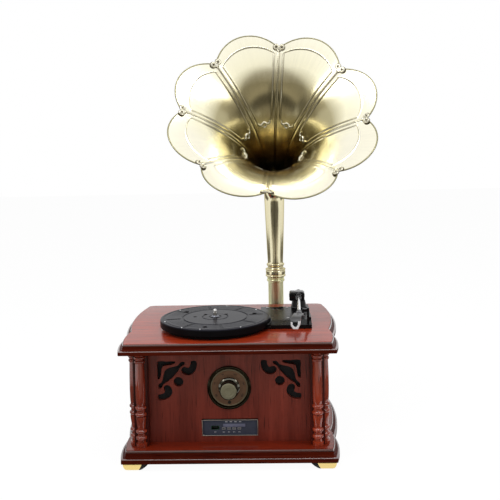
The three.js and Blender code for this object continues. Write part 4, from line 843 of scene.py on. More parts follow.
# Deck plate and what stands on it
def deck():
    centre = at(PLATTER_X, PLATTER_Y, TOP)
    lip = [(101.6, 6.0), (102.9, 6.0), (102.9, 11.4), *arc(102.3, 11.4, 0.6, 0.6, 0, 180, 4), (101.7, 11.4)]
    rings = []
    for i in range(49):
        spoke = polar(math.radians(-21 + 85 * i / 48))
        rings.append([centre + spoke * radius * MM + raised(height) for radius, height in lip])
    put(mesh_object("recess_lip", *skin(rings)), "deck plastic", "cabinet")
    head = [(0.1, 0), (2.6, 0), (2.6, 0.5), (2.1, 0.9), (0.1, 1.0)]
    screws = [lathe("screw", head, at(x, y, DECK_TOP), steps=24)
              for x, y in ((106, -28), (106, 62), (141, 62), (68, 62))]
    put(joined("deck_screws", screws), "steel", "cabinet")
    numbers = [figures(words, words, 4.0, 0.05, Matrix.Translation(at(x, 49, DECK_TOP + 0.05)))
               for x, words in ((78, "78"), (87, "45"), (96, "33"))]
    put(joined("speed_numbers", numbers), "pale marking", "cabinet", slot="white_plastic")
    ends = arc(95.3, 57, 2.7, 2.7, -90, 90) + arc(78.7, 57, 2.7, 2.7, 90, 270)
    slot_rim = tube("switch_rim", [at(x, y, DECK_TOP + 0.2) for x, y in ends], 0.5, 8, closed=True)
    put(slot_rim, "deck plastic", "cabinet")
    ribs = [bar("rib", (x - 0.4, 54.9, DECK_TOP + 2.8), (x + 0.4, 59.1, DECK_TOP + 3.0), 0.08, 1)
            for x in (92.3 + 1.8 * i for i in range(4))]
    put(joined("switch_ribs", ribs), "grey plastic", "switch_body", slot="black_plastic")


# Dark round marks of the platter, painted shade where it has holes: distance from its centre, degrees, radius
WELLS = [(75, 18, 4.2), (72, 143, 4.2), (78, 261, 4.2), (27, 44, 3.4), (27, 136, 3.4), (37, 178, 3.0)]


def platter():
    """Platter with its ribs and marks, and the spindle."""
    centre = at(PLATTER_X, PLATTER_Y, 0)
    top, low = PLATTER_TOP, PLATTER_SKIRT
    profile = [(97.6, top - 2.5), (97.6, low + 0.4), (97.9, low), (99.6, low), (100, low + 0.4),
               (100, top - 2.7), (99.8, top - 2.4)]
    # painted shade on the platter's side
    put(lathe("platter_skirt", profile, centre, steps=192, loop=True, angle=25), "platter skirt",
        "platter_body")
    profile = [(3.9, top - 3), (97.5, top - 3), (99.7, top - 2.4), *arc(98.2, top - 1.9, 1.6, 1.5, -10, 90, 6),
               (95.5, top - 0.4), (95.0, top - 1.0), (92.4, top - 1.0), (91.9, top - 0.5), (88, top - 0.5)]
    radius = 86.0
    while radius > 63:
        profile += [(radius, top - 0.5), (radius - 0.7, top - 0.5), (radius - 1.0, top - 0.75),
                    (radius - 1.6, top - 0.75), (radius - 1.9, top - 0.5)]
        radius -= 4.4
    profile += [(60.6, top - 0.5), (60.2, top - 1.5), (58.0, top - 1.5), (57.6, top - 0.4), (30, top - 0.4),
                (24.4, top - 0.4), (24.0, top - 1.2), (22.6, top - 1.2), (22.2, top - 0.2), (12, top - 0.2),
                (11.6, top - 0.8), (9.5, top - 0.8), (9, top), (3.9, top)]
    put(lathe("platter_disc", profile, centre, steps=192, loop=True, angle=25), "platter plastic",
        "platter_body", "platter")
    marks = []
    for i in range(8):
        spoke = polar(math.radians(45 * i + 12))
        side = Vector((-spoke.y, spoke.x, 0))
        for shift in (-1.6, 1.6):
            path = [centre + spoke * r * MM + side * shift * MM + raised(top - 0.55) for r in (63, 89)]
            marks.append(tube("mark", path, 0.3, 6))
    for away, turn, size in WELLS:
        place = centre + polar(math.radians(turn)) * away * MM + raised(top - 0.6)
        marks.append(lathe("well", [(0.1, 0), (size, 0), (size, 0.25), (0.1, 0.25)], place, steps=32, loop=True))
    # painted shade: the dark marks and discs stand for openings in the platter
    put(joined("platter_marks", marks), "painted opening shade", "platter_body")
    dots = []
    for turn in (200, 236, 258, 302, 38, 80, 140):
        place = centre + polar(math.radians(turn)) * 93.7 * MM + raised(top - 1.0)
        dots.append(lathe("dot", [(0.1, 0), (1.5, 0), (1.3, 0.5), (0.1, 0.8)], place, steps=20))
    put(joined("platter_studs", dots), "tonearm silver", "platter_body", slot="steel")
    profile = [(3.6, TOP + 4), (3.6, top + 0.4), (3.6, top + 9), (3.4, top + 10),
               *arc(0.2, top + 10.8, 3.1, 3.1, 10, 90)]
    put(lathe("spindle_pin", profile, centre, steps=48), "bright trim", "cabinet")
    profile = [(3.9, top), (7.0, top), (7.0, top + 0.5), (6.6, top + 1.0), (5.0, top + 1.4), (4.4, top + 2.2),
               (3.9, top + 2.2)]
    put(lathe("spindle_collar", profile, centre, steps=48, loop=True), "dull steel", "platter_body")


# Tonearm: pieces are made along -Y from the pivot and turned into place
ARM_FRAME = Matrix.Translation(at(ARM_X, ARM_Y, ARM_Z)) @ Matrix.Rotation(-math.radians(ARM_TURN), 4, "Z")
HEAD_FRAME = (ARM_FRAME @ Matrix.Translation((0, -HEAD_REACH * MM, 0))
              @ Matrix.Rotation(-math.radians(HEAD_TURN), 4, "Z"))


def put_on_arm(obj, finish, body, *nodes, matrix=ARM_FRAME):
    obj.data.transform(matrix)
    put(obj, finish, body, *nodes)


def arm_bar(name, low, high, bevel, segments=3):
    return bar(name, low, high, bevel, segments, Vector())


def rod(name, radius, start, end, steps=32):
    """A rod along the arm from start to end, in mm, with eased ends."""
    profile = [(radius - 0.4, -end), (radius, 0.4 - end), (radius, -start - 0.4), (radius - 0.4, -start)]
    return lathe(name, profile, axis=FRONTWARD, steps=steps)


def tonearm():
    def turned(name, profile, finish, *nodes, axis=FRONTWARD, steps=40, loop=False):
        put_on_arm(lathe(name, profile, axis=axis, steps=steps, loop=loop), finish, "arm_body", *nodes)

    turned("arm_tube", [(2.3, -2.0), (2.6, -1.4), (2.5, 13), (2.8, 100), (3.1, 147.6), (2.7, 148.0)],
           "tonearm silver", "tonearm")
    turned("arm_ferrule", [(2.9, 152.3), (4.1, 152.3), (4.5, 152.8), (4.5, 159.2), (4.0, 159.8), (0.2, 159.8)],
           "pale grey plastic")
    turned("arm_lock_ring", [(2.9, 146.6), (4.7, 147.0), (5.0, 147.6), (5.0, 151.6), (4.6, 152.2),
                             (2.9, 152.2)], "gloss black plastic", loop=True)
    turned("arm_collar", [(2.4, 12.4), (4.4, 12.6), (4.8, 13.4), (4.4, 14.6), (2.4, 15.0)], "grey plastic",
           loop=True)
    put_on_arm(rod("arm_stub", 3.0, 0, 37), "steel", "arm_body")
    turned("arm_pins", [(0.2, -7.4), (1.4, -7.2), (1.4, -4.2), (4.3, -4.2), (4.3, 4.2), (1.4, 4.2), (1.4, 7.2),
                        (0.2, 7.4)], "steel", axis=(1, 0, 0), steps=32)
    profile = [(3.4, -34.8), (4.8, -34.8), (5.4, -34.0)]
    for i in range(5):
        start = -33.0 + i * 2.4
        profile += [(5.4, start), (5.4, start + 1.3), (4.9, start + 1.6), (4.9, start + 2.1)]
    profile += [(5.4, -21.6), (4.9, -21.2), (3.4, -21.2)]
    turned("weight_body", profile, "black plastic", "counterweight", steps=64, loop=True)
    yoke()
    headshell()
    profile = [(4.5, 0), (15, 0), (15, 3.6), *arc(13.8, 3.6, 1.2, 1.2, 0, 80, 5), (13.0, 4.9), (12.6, 5.6),
               (12.3, 16.0), (11.8, 16.7), (4.5, 16.9)]
    foot = at(ARM_X, ARM_Y, DECK_TOP)
    put(lathe("arm_pillar", profile, foot, steps=80, loop=True), "gloss black plastic", "cabinet")
    profile = arc(14.6, 4.4, 1.0, 0.8, 0, 360, 16)[:-1]
    put(lathe("arm_base_ring", profile, foot, steps=80, loop=True, angle=60), "grey plastic", "cabinet")


def yoke():
    """Bearing block: two cheeks of unlike width, a floor, a cover over the tube, and the swing shaft."""
    low, top = -8.7, 7.5
    parts = [
        arm_bar("cheek", (-18.0, -12, low), (-4.9, 12, top), 2.4, 4),
        arm_bar("cheek", (4.9, -12, low), (11.4, 12, top), 2.2, 4),
        arm_bar("floor", (-15, -12, low), (10, 12, low + 2), 0.6),
        arm_bar("cover", (-6.5, -11.2, 6.9), (8.5, 11.2, 8.5), 0.7),
        lathe("shaft", [(0.5, low - 16), (4, low - 16), (4, low + 1), (0.5, low + 1)], steps=32),
    ]
    put_on_arm(joined("yoke_cheeks", parts), "gloss black plastic", "yoke_body", "arm_yoke")
    caps = [arm_bar("cap", (-16.0, -9.6, top - 0.4), (-7.2, 9.6, top + 0.6), 0.5)]
    for sign, reach in ((-1, 17.4), (1, 10.8)):
        profile = [(0.2, reach), (3.4, reach), (3.4, reach + 0.8), (2.6, reach + 1.1), (0.2, reach + 1.1)]
        caps.append(lathe("cap", profile, axis=(sign, 0, 0), steps=32))
    put_on_arm(joined("yoke_caps", caps), "dark grey plastic", "yoke_body")


def headshell():
    """Shell with its snout and finger lift, cartridge, and the white guard with two tines."""
    nose = [(-2.4, 2.2), (-26, 2.2), (-33.5, 0.6), (-37.6, -4.6), (-37.2, -6.6), (-33.0, -3.0), (-25, -0.25),
            (-2.4, -0.25)]
    facing = Matrix(((0, 0, 1, -8.3 * MM), (1, 0, 0, 0), (0, 1, 0, 0), (0, 0, 0, 1)))
    lift = [Vector(p) * MM for p in ((7.6, -16, 0.9), (10.4, -17, 0.9), (12.6, -19, 1.4), (13.6, -22, 2.6))]
    parts = [slab("plate", nose, 16.6, facing, 0.7, 3), rod("neck", 3.0, -12, -0.6, 24),
             tube("lift", lift, 1.5)]
    put_on_arm(joined("head_shell", parts), "grey plastic", "arm_body", "headshell", matrix=HEAD_FRAME)
    parts = [arm_bar("cartridge", (-6.4, -34.6, -9.2), (6.4, -13, -0.4), 0.9),
             arm_bar("stylus", (-3.9, -35.6, -13.6), (3.9, -25, -8.4), 1.6)]
    put_on_arm(joined("cartridge_body", parts), "gloss black plastic", "arm_body", matrix=HEAD_FRAME)
    outline = [(-7.6, -5.6), (-7.6, -11.4), (-4.2, -17.2), (-3.4, -17.6), (3.4, -17.6), (5.0, -17.0),
               (8.6, -9.4), (8.6, -4.0), (4.9, -4.0), (4.6, -9.2), (2.2, -14.0), (-1.6, -14.4), (-4.4, -10.4),
               (-4.6, -5.6)]
    facing = Matrix(((1, 0, 0, 0), (0, 0, -1, -31.4 * MM), (0, 1, 0, 0), (0, 0, 0, 1)))
    parts = [slab("tines", outline, 6.6, facing, 0.6, 3),
             arm_bar("tray", (-5.4, -33, -15.4), (5.4, -23.0, -14.2), 0.5)]
    put_on_arm(joined("stylus_cover", parts), "white plastic", "arm_body", "stylus_guard", matrix=HEAD_FRAME)


# Horn stem, bracket and neck
def stem():
    centre = at(HORN_X, STEM_Y, 0)
    top = COLLAR_Z - 0.5
    profile = [(14.4, 156.4), (15.8, 156.4), (15.8, top - 11.5), (16.4, top - 10.6),
               *arc(17.0, top - 7.4, 1.7, 2.6, -75, 75), (16.6, top - 4.4), (16.6, top - 3.4),
               *arc(16.9, top - 1.7, 1.2, 1.4, -70, 70, 6), (16.0, top), (14.4, top)]
    put(lathe("stem_pipe", profile, centre, loop=True, angle=40), "stem brass", "cabinet", "horn_stem")
    low, high = 152.0, 182.0
    profile = [(0.5, low), (18.0, low), (19.4, low + 0.6), (20, low + 2), (20, high - 5), (19.2, high - 4.6),
               (19.2, high - 3.8), (20, high - 3.4), (20, high - 1), (19.4, high), (16.2, high), (16.2, 156),
               (0.5, 156)]
    socket = lathe("bracket_socket", profile, centre, angle=40)
    wall = at(HORN_X, BACK_Y, (low + high) / 2)
    profile = [(0.5, 0), (28, 0), (28, 3.6), *arc(26, 3.8, 2, 2.0, 0, 80, 5), (16, 6), (13.2, 7.0),
               (11.4, 9.6), (11, 13), (11, 31)]
    arm = lathe("bracket_arm", profile, wall, BACKWARD, 64, angle=40)
    put(joined("bracket_body", [socket, arm]), "pipe brass", "cabinet", "stem_bracket")
    screws = []
    head = [(0.1, 0), (3.2, 0), (3.0, 0.8), (1.6, 1.5), (0.1, 1.6)]
    for i in range(4):
        place = wall + polar(math.radians(45 + 90 * i), upright=True) * 21.5 * MM + Vector((0, 5.8 * MM, 0))
        screws.append(lathe("screw", head, place, BACKWARD, 24))
    put(joined("bracket_screws", screws), "clip brass", "cabinet")


TILT = math.radians(90 - ELEVATION)


def neck_ring(y, z, radius, tilt):
    """A ring about the neck's line, y behind the stem's axis and z above the ground."""
    ring = []
    for k in range(72):
        away = 2 * math.pi * k / 72
        side = math.sin(away) * radius
        ring.append(at(HORN_X + math.cos(away) * radius, STEM_Y + y + side * math.cos(tilt),
                       z + side * math.sin(tilt)))
    return ring


def elbow_ring(share, radius):
    turn = TILT * share
    return neck_ring(-ELBOW * (1 - math.cos(turn)), NECK_TOP_Z + ELBOW * math.sin(turn), radius, turn)


def neck():
    """Collar with its beads, tapered pipe and elbow up to the throat, then the inner face back down."""
    low = COLLAR_Z
    foot = low + 31
    outer = [(12.6, low - 33), (14.0, low - 33), (14.0, low + 0.2), (19.6, low + 0.2),
             *arc(19.9, low + 1.8, 1.3, 1.6, -80, 60, 6), (20.2, low + 3.8), (19.6, low + 4.4),
             (19.8, low + 5.2), (20.6, low + 6.0), (20.6, low + 11.6), (19.8, low + 12.4), (19.6, low + 13.2),
             *arc(19.8, low + 15.2, 1.4, 1.7, -70, 80, 6), (17.2, low + 17.6), (16.6, low + 18.6),
             (16.3, low + 21.5), *arc(16.8, low + 25.3, 1.9, 2.6, -80, 80), (16.2, low + 28.6), (16.1, foot)]
    for i in range(1, 9):
        share = i / 8
        outer.append((16.1 + 4.8 * share ** 0.9, foot + (NECK_TOP_Z - foot) * share))
    rings = [neck_ring(0, z, radius, 0) for radius, z in outer]
    rings += [elbow_ring(i / 16, 20.9 + 2.5 * i / 16) for i in range(1, 17)]
    rings.append(elbow_ring(1, 21.8))
    rings += [elbow_ring(i / 16, 19.4 + 2.4 * i / 16) for i in range(15, -1, -1)]
    rings.append(neck_ring(0, low, 12.6, 0))
    put(mesh_object("neck_pipe", *skin(rings, loop=True), 40), "pipe brass", "horn_body", "horn_neck")


# Horn bell: petals, seams, raised panels, rolled rim
OUTWARD = Vector((0, -math.sin(TILT), math.cos(TILT)))
UPWARD = Vector((0, math.cos(TILT), math.sin(TILT)))
MOUTH = Vector((HORN_X, STEM_Y - ELBOW * (1 - math.cos(TILT)) - (BELL + THROAT_GAP) * math.sin(TILT),
                NECK_TOP_Z + ELBOW * math.sin(TILT) + (BELL + THROAT_GAP) * math.cos(TILT)))
HALF_PETAL = math.pi / PETALS

# Distances from a seam, in mm, at which the sheet has points
SEAM_PLACES = [0.0, 0.5, 1.0, 1.5, 2.1, 3.2, 5.0, 6.4, 7.2, 7.7, 8.2, 8.6, 9.0, 9.5, 10.1, 11.4]
SEAM_WIDTH, PANEL_EDGE, BEAD_WIDTH, INNER_STEPS = 2.1, 8.6, 1.3, 9

# Shares of the bell's reach: the panels' outer arc and its half width, their foot, and the rim
PANEL_ARC, PANEL_LINE, BRACKET_REACH, RIM_REACH = 0.945, 0.003, 0.535, 0.9978

# Heights of the seams, panel sides and panel arcs in mm, their roundness, and what of them shows behind
SEAM_HEIGHT, SIDE_HEIGHT, ARC_HEIGHT, ROUNDNESS, BACK_SHARE = 1.3, 1.0, 0.9, 0.8, 0.6

# Brush lines round the bell and along it, and how much paler the lowest petals are painted, as painted light on
# the petals that face up
BRUSH_ROUND, BRUSH_ALONG, PAINTED_LIGHT_BELOW = 130, 3, 0.34

# Painted shade and highlight of the pressed lines by distance from the seam: 0 is a painted dark foot, 1 a painted
# bright crest, 0.5 plain
SEAM_TONES = [(0.0, 0.1), (0.5, 0.3), (1.0, 0.75), (1.5, 0.8), (2.1, 0.25), (3.2, 0.45), (5.0, 0.5)]
PANEL_TONES = [(5.0, 0.5), (6.4, 0.4), (7.2, 0.1), (7.7, 0.5), (8.2, 0.95), (8.6, 1.0), (9.0, 0.95), (9.5, 0.5),
               (10.1, 0.12), (11.4, 0.5)]


def petal_radius(away):
    """Radius of the mouth at an angle from a petal's middle."""
    half_chord = CLIP_RING * math.sin(HALF_PETAL)
    lobe = (half_chord ** 2 + SAGITTA ** 2) / (SAGITTA * 2)
    centre = CLIP_RING * math.cos(HALF_PETAL) + SAGITTA - lobe
    side = centre * math.sin(away)
    return centre * math.cos(away) + math.sqrt(lobe ** 2 - side ** 2)


def bell_profile(reach, away):
    """Radius and depth behind the clip ring, in mm, on the inner surface; reach is 1 at the mouth."""
    flare = THROAT * (CLIP_RING / THROAT) ** (max(reach, 0) ** FLARE)
    petal = max(reach, 0) ** FADE
    swell = 1 + (petal_radius(away) / CLIP_RING - 1) * petal
    crown = math.cos(away / HALF_PETAL * math.pi / 2)
    return flare * swell, BELL * (1 - reach) - FORWARD * crown * petal


def petal_angle(petal, away):
    return (petal + 0.5) * 2 * HALF_PETAL + away


def bell_point(reach, petal, away, lift=0.0, behind=0.0):
    """A point of the bell in metres: lift stands proud of the inner face, behind goes the other way."""
    radius, depth = bell_profile(reach, away)
    r0, d0 = bell_profile(reach - 0.01, away)
    r1, d1 = bell_profile(reach + 0.01, away)
    rise, run = r1 - r0, d0 - d1
    slant = math.hypot(rise, run)
    radius += run / slant * (behind - lift)
    depth += rise / slant * (behind - lift)
    turn = petal_angle(petal, away) + PETAL_TURN
    spoke = Vector((1, 0, 0)) * math.cos(turn) + UPWARD * math.sin(turn)
    return at(*(MOUTH + spoke * radius - OUTWARD * depth))


def bell_columns(reach):
    """Angles across one petal, from one seam to the next, with the distances that place its lines."""
    half = bell_profile(reach, HALF_PETAL)[0] * HALF_PETAL
    shrink = min(1.0, half * 0.5 / PANEL_EDGE)
    last = SEAM_PLACES[-1]
    right = [(HALF_PETAL * (1 - place * shrink / half), place) for place in SEAM_PLACES]
    right += [(HALF_PETAL * (1 - last * shrink / half) * (1 - i / INNER_STEPS), last + i)
              for i in range(1, INNER_STEPS + 1)]
    left = [(-away, mark) for away, mark in right]
    return (left + right[-2::-1])[:-1]


def relief(reach, mark):
    """Height of the pressed lines: the seam, and the bead round each petal's panel, which fades at its ends."""
    height = 0.0
    if mark < SEAM_WIDTH:
        height = SEAM_HEIGHT * math.cos(mark / SEAM_WIDTH * math.pi / 2) ** ROUNDNESS
    fade = min(1.0, max(0.0, (reach - BRACKET_REACH) / 0.03))
    fade *= min(1.0, max(0.0, (PANEL_ARC + 0.006 - reach) / 0.006))
    side = max(0.0, 1 - abs(mark - PANEL_EDGE) / BEAD_WIDTH)
    height = max(height, SIDE_HEIGHT * side ** ROUNDNESS * fade)
    if mark >= PANEL_EDGE - 0.5:
        across = max(0.0, 1 - abs(reach - PANEL_ARC) / PANEL_LINE)
        height = max(height, ARC_HEIGHT * across ** ROUNDNESS)
    return height


def table_value(table, place):
    for (x0, y0), (x1, y1) in zip(table, table[1:]):
        if place <= x1:
            return y0 + (y1 - y0) * (place - x0) / (x1 - x0)
    return table[-1][1]


def painted_line_light_and_shade(reach, mark):
    if mark <= SEAM_TONES[-1][0]:
        return table_value(SEAM_TONES, mark)
    tone = 0.5
    if BRACKET_REACH < reach < PANEL_ARC:
        tone = table_value(PANEL_TONES, mark)
        if mark < PANEL_EDGE:
            return tone
    across = abs(reach - PANEL_ARC) / PANEL_LINE
    if mark >= PANEL_EDGE - 0.5 and across < 1.6:
        tone = 1.0 - 0.75 * across if across <= 1.0 else 0.25 + 0.25 * (across - 1.0) / 0.6
    return tone


def shifted(reach, turn):
    """Moves the rows near the panels' arcs out on the upper petals and in on the lower ones."""
    if reach < PANEL_ARC:
        share = max(0.0, (reach - 0.75) / (PANEL_ARC - 0.75))
    else:
        share = max(0.0, (RIM_REACH - reach) / (RIM_REACH - PANEL_ARC))
    return reach + 0.018 * math.sin(turn) * share


def bell_rows():
    rows = [0.0, 0.02]
    reach = 0.05
    while reach < PANEL_ARC - 0.008:
        rows.append(reach)
        reach += 0.02 if reach > 0.5 else 0.04
    rows += [PANEL_ARC + step for step in (-0.005, -0.0034, -0.0022, -0.001, 0, 0.001, 0.0022, 0.0034, 0.005)]
    return rows + [0.956, 0.963, 0.97, 0.977, 0.984, 0.99, 0.9945, RIM_REACH]


def horn_bell():
    inner, outer, strokes, tones, depths = [], [], [], [], []
    for reach in bell_rows():
        inner.append([])
        outer.append([])
        strokes.append([])
        for petal in range(PETALS):
            for away, mark in bell_columns(reach):
                height = relief(reach, mark)
                turn = petal_angle(petal, away)
                placed = shifted(reach, turn + PETAL_TURN)
                inner[-1].append(bell_point(placed, petal, away, lift=height))
                outer[-1].append(bell_point(placed, petal, away, lift=height * BACK_SHARE, behind=SHEET))
                strokes[-1] += [math.cos(turn) * BRUSH_ROUND, math.sin(turn) * BRUSH_ROUND, reach * BRUSH_ALONG]
                # painted shade and highlight of the pressed lines
                tones.append(painted_line_light_and_shade(reach, mark))
                # painted light: the lowest petals take a higher reach, so they are paler
                depths.append(reach + PAINTED_LIGHT_BELOW * max(0.0, -math.sin(turn + PETAL_TURN)))
    bell = mesh_object("bell_sheet", *skin(inner + outer[::-1], loop=True), 50)
    point_values(bell, "brush", sum(strokes + strokes[::-1], []), "FLOAT_VECTOR")
    point_values(bell, "reach", depths + [0.55 + 0.3 * depth for depth in depths])
    point_values(bell, "line", tones + [0.5] * len(tones))
    put(bell, "horn brass", "horn_body", "horn_bell")
    rim = [bell_point(RIM_REACH, petal, away, behind=0.5)
           for petal in range(PETALS) for away, _ in bell_columns(RIM_REACH)]
    put(tube("bell_rim", rim, RIM_BEAD, closed=True), "rim brass", "horn_body")


# Half of a curly bracket, mirrored, and its bowl, in mm: across, and down towards the throat
BRACE = [(-12.5, -4.5), (-12, -1.6), (-10, 1.2), (-7.5, 2.4), (-5.2, 1.4), (-3.4, -0.4), (-1.6, -1.4)]
BRACE += [(0, -1.4)] + [(-x, y) for x, y in BRACE[::-1]]
BOWL = arc(0, 0.6, 5.4, 8.2, 175, 5, 12)


def brackets():
    """A raised curly bracket closes each panel at its foot; those of the lowest petals are fainter. Dark tubes
    beside each bracket are painted shade.
    """
    crests, shades = [], []
    for petal in range(PETALS):
        lowest = math.sin(petal_angle(petal, 0) + PETAL_TURN) < -0.8
        base, proud = (BRACKET_REACH - 0.06, 0.3) if lowest else (BRACKET_REACH, 1.0)
        slope = math.hypot(bell_profile(base - 0.05, 0)[0] - bell_profile(base, 0)[0], BELL * 0.05) / 0.05

        def line(name, shape, lift, radius, steps):
            path = []
            for across, down in shape:
                reach = base - down / slope
                away = across / bell_profile(reach, 0)[0]
                path.append(bell_point(reach, petal, away, lift=lift * proud))
            return tube(name, path, radius * proud, steps)

        crests.append(line("brace", BRACE, 1.5, 1.5, 10))
        crests.append(line("bowl", BOWL, 1.2, 1.2, 10))
        # painted shade: dark tubes beside the bracket and inside its bowl
        shades.append(line("shade", [(x, y + 1.7) for x, y in BRACE[1:-1]], 0.6, 1.6, 8))
        shades.append(line("shade", [(x * 0.8, y - 0.4) for x, y in BOWL], 0.4, 1.3, 8))
    put(joined("bell_brackets", crests), "clip brass", "horn_body", slot="antique_brass")
    put(joined("bracket_painted_shade", shades), "rim brass", "horn_body")


# Discs whose union is a clip's outline: x, y, radius
CLIP_LOBES = [(-5.4, 1.0, 5.7), (5.4, 1.0, 5.7), (0.0, -3.0, 4.6)]


def clip_outline():
    outline = []
    for i in range(48):
        way = Vector((math.cos(math.pi * i / 24), math.sin(math.pi * i / 24)))
        reach = 0.0
        for x, y, radius in CLIP_LOBES:
            along = way.dot(Vector((x, y)))
            under = radius ** 2 - x * x - y * y + along ** 2
            if under > 0:
                reach = max(reach, along + math.sqrt(under))
        outline.append((way.x * reach, way.y * reach))
    return outline


def clips():
    """Clips that bridge the notches between petals, each with two eyes and rivets. The dark border under each
    plate and the dark rivets in the eyes are painted shade.
    """
    r1, d1 = bell_profile(1.0, HALF_PETAL)
    r0, d0 = bell_profile(0.9, HALF_PETAL)
    lean = math.atan2(d0 - d1, r1 - r0)
    outline = clip_outline()
    border = [(x * 1.1, y * 1.16) for x, y in outline]
    mouth = Matrix(((1, 0, 0, 0), (0, UPWARD.y, OUTWARD.y, 0), (0, UPWARD.z, OUTWARD.z, 0), (0, 0, 0, 1)))
    mouth = Matrix.Translation(at(*MOUTH)) @ mouth
    dark = []
    for i in range(PETALS):
        turn = 2 * HALF_PETAL * i - math.pi / 2 + PETAL_TURN
        place = (mouth @ Matrix.Rotation(turn, 4, "Z") @ Matrix.Translation((0, r1 * MM, -d1 * MM))
                 @ Matrix.Rotation(lean, 4, "X") @ Matrix.Translation((0, 0, 0.3 * MM)))
        parts = [slab("plate", outline, 1.8, place, 0.5, 3)]
        # painted shade: a dark border round the clip
        dark.append(slab("border", border, 1.0, place @ Matrix.Translation((0, 0, -0.2 * MM)), 0.3))
        for x in (-5.4, 5.4):
            spot = place @ Matrix.Translation((x * MM, 1.0 * MM, 0.9 * MM))
            eye = lathe("eye", [(2.1, 0), (4.6, 0), (4.6, 1.2), (3.9, 2.1), (2.8, 2.1), (2.1, 1.3)], steps=24,
                        loop=True)
            rivet = lathe("rivet", [(0.1, 0), (2.0, 0), (1.9, 1.1), (1.2, 1.5), (0.1, 1.6)], steps=20)
            eye.data.transform(spot)
            rivet.data.transform(spot)
            parts.append(eye)
            # painted shade: the dark rivet fills the eye's hole
            dark.append(rivet)
        scallop = [place @ Vector((x * MM, y * MM, 1.8 * MM)) for x, y in arc(0, -3.0, 3.4, 3.4, 190, 350, 10)]
        parts.append(tube("scallop", scallop, 0.8, 8))
        put(joined(f"petal_clip_{i + 1}", parts), "clip brass", "horn_body", f"rim_clip_{i + 1}")
    put(joined("clip_rivets_and_painted_shade", dark), "dark brass", "horn_body")


# Stage: floor, light, camera
def seen_rays(tree):
    """1 for rays of the camera, of reflection and of transmission, and 0 for all others."""
    path = tree.node("LightPath").outputs
    seen = tree.numbered("Math", path["Is Camera Ray"], path["Is Glossy Ray"], operation="MAXIMUM")
    return tree.numbered("Math", seen, path["Is Transmission Ray"], operation="MAXIMUM")


def flat_panel(name, size):
    """A square in the stage, with a material that is still to be made."""
    build = bmesh.new()
    bmesh.ops.create_grid(build, x_segments=1, y_segments=1, size=size)
    panel = built(name, build)
    material = bpy.data.materials.new(name)
    panel.data.materials.append(material)
    return panel, Tree(material)


def stage():
    """A pale floor that mostly glows where it is seen, and a white studio round it."""
    floor, tree = flat_panel("floor", 8)
    floor.location.z = -0.0003
    share = tree.numbered("Math", seen_rays(tree), 0.88, operation="MULTIPLY")
    diffuse = tree.node("BsdfDiffuse", Color=(0.8, 0.8, 0.8)).outputs[0]
    glow = tree.node("Emission", Color=(1, 1, 1), Strength=1.08).outputs[0]
    tree.node("OutputMaterial", Surface=tree.numbered("MixShader", share, diffuse, glow))
    world = bpy.data.worlds.new("studio")
    tree = Tree(world)
    level = tree.node("MapRange", Value=seen_rays(tree), To_Min=0.32, To_Max=1.0).outputs["Result"]
    light = tree.node("Background", Color=(1, 1, 1), Strength=level)
    tree.node("OutputWorld", Surface=light.outputs[0])
    bpy.context.scene.world = world


# Softboxes: name, place, the height they aim at, width, height, radiance
SOFTBOXES = [
    ("key", (-1.7, -1.4, 2.0), 0.35, 0.4, 1.3, 5.5),
    ("fill", (1.8, -1.3, 1.9), 0.35, 0.34, 1.3, 5.0),
    ("top", (0.1, -0.6, 2.2), 0.3, 1.7, 0.3, 9.0),
]

# Panels that only reflections see: name, place, axis turned upright, width, depth and level, in metres
REFLECTIONS = [
    ("flag_top", (0.05, -2.61, 1.16), "x", 5.4, 0.36, 0.34),
    ("flag_above", (0.05, -2.6, 0.77), "x", 5.4, 0.42, 0.46),
    ("flag_middle", (0.05, -2.6, 0.43), "x", 5.4, 0.26, 0.75),
    ("flag_far", (0.05, -2.6, 0.15), "x", 5.4, 0.3, 0.1),
    ("flag_camera", (0.05, -2.58, 0.3), "x", 0.36, 0.6, 0.06),
    ("flag_beyond", (0.05, -2.1, 0.002), "", 4.8, 1.0, 0.1),
    ("flag_aisle", (0.05, -1.8, 0.004), "", 0.26, 1.6, 0.03),
    ("flag_step", (0.05, -1.4, 0.002), "", 3.2, 0.4, 0.4),
    ("flag_last", (0.0, -1.03, 0.003), "", 1.6, 0.34, 0.5),
    ("flag_next", (0.0, -0.74, 0.003), "", 1.0, 0.24, 0.5),
    ("flag_near", (0.0, -0.53, 0.003), "", 0.8, 0.18, 0.3),
    ("flag_foot", (0.0, -0.33, 0.003), "", 0.62, 0.22, 0.08),
    ("flag_left", (-0.46, 0.1, 0.003), "", 0.34, 1.2, 0.12),
    ("flag_right", (0.46, 0.1, 0.003), "", 0.34, 1.2, 0.12),
    ("flag_low_left", (-2.0, -0.2, 0.65), "y", 0.7, 4.0, 0.18),
    ("flag_low_right", (2.1, -0.2, 0.65), "y", 0.7, 4.0, 0.18),
    ("flag_floor_left", (-1.5, 0.8, 0.003), "", 1.0, 2.0, 0.15),
    ("flag_floor_right", (1.6, 0.8, 0.003), "", 1.0, 2.0, 0.15),
    ("flag_rise_left", (-2.0, -0.75, 1.2), "y", 0.4, 2.9, 0.42),
    ("flag_rise_right", (2.1, -0.75, 1.2), "y", 0.4, 2.9, 0.42),
    ("flag_high_left", (-2.0, -1.4, 1.6), "y", 0.4, 1.6, 0.55),
    ("flag_high_right", (2.1, -1.4, 1.6), "y", 0.4, 1.6, 0.55),
]


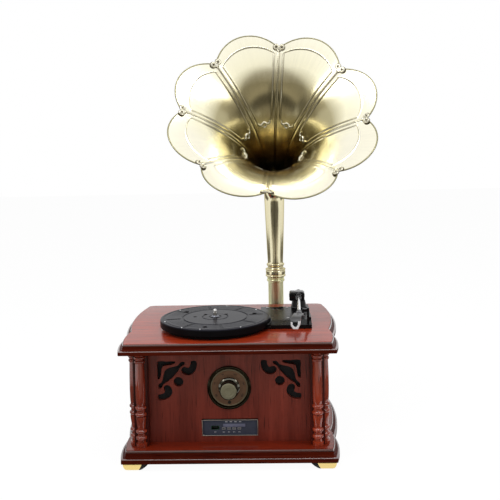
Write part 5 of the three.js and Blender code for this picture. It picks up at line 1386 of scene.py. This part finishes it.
def lights():
    for name, place, aim, width, height, radiance in SOFTBOXES:
        data = bpy.data.lights.new(name, "AREA")
        data.shape = "RECTANGLE"
        data.size = width
        data.size_y = height
        data.energy = radiance * width * height * math.pi
        lamp = new_object(name, data)
        lamp.location = place
        lamp.rotation_euler = (Vector((0, 0, aim)) - Vector(place)).to_track_quat("-Z", "Y").to_euler()
        lamp.visible_camera = False
    for name, place, upright, width, depth, level in REFLECTIONS:
        flag, tree = flat_panel(name, 0.5)
        glow = tree.node("Emission", Color=(level, level * 0.93, level * 0.8), Strength=1.0)
        tree.node("OutputMaterial", Surface=glow.outputs[0])
        flag.location = place
        flag.rotation_euler = [math.pi / 2 if axis == upright else 0 for axis in "xyz"]
        flag.scale = (width, depth, 1)
        flag.visible_camera = flag.visible_shadow = flag.visible_diffuse = False


# The camera as fitted to the photograph: place in mm, angles in radians, lens and axis in pixels
CAMERA_PLACE = (75.35, -1345.3, 536.44)
YAW, PITCH, ROLL, FOCAL_PX, AXIS_PX, PICTURE_PX = 0.0265, -0.0591, -0.0200, 722.88, 193.88, 500


def camera():
    data = bpy.data.cameras.new("camera")
    data.sensor_width = 36.0
    data.lens = data.sensor_width * FOCAL_PX / PICTURE_PX
    data.shift_y = (AXIS_PX - PICTURE_PX / 2) / PICTURE_PX
    data.clip_end = 50
    ahead = Vector((-math.sin(YAW), math.cos(YAW), 0))
    right = Vector((math.cos(YAW), math.sin(YAW), 0))
    up = Vector((0, 0, 1))
    view = ahead * math.cos(PITCH) + up * math.sin(PITCH)
    lifted = up * math.cos(PITCH) - ahead * math.sin(PITCH)
    across = right * math.cos(ROLL) + lifted * math.sin(ROLL)
    upper = lifted * math.cos(ROLL) - right * math.sin(ROLL)
    eye = new_object("camera", data)
    turned = Matrix((across, upper, -view)).transposed().to_4x4()
    eye.matrix_world = Matrix.Translation(at(*CAMERA_PLACE)) @ turned
    bpy.context.scene.camera = eye
    bpy.context.scene.view_settings.view_transform = "Standard"


stage()
lights()
camera()
for node_name, look in KEPT_NODES.items():
    keep_node(node_name, *look)
for make in (cabinet_boards, columns, feet, inside, grille, dial, controls, deck, platter, tonearm, stem, neck,
             horn_bell, brackets, clips):
    make()

bpy.context.view_layer.update()
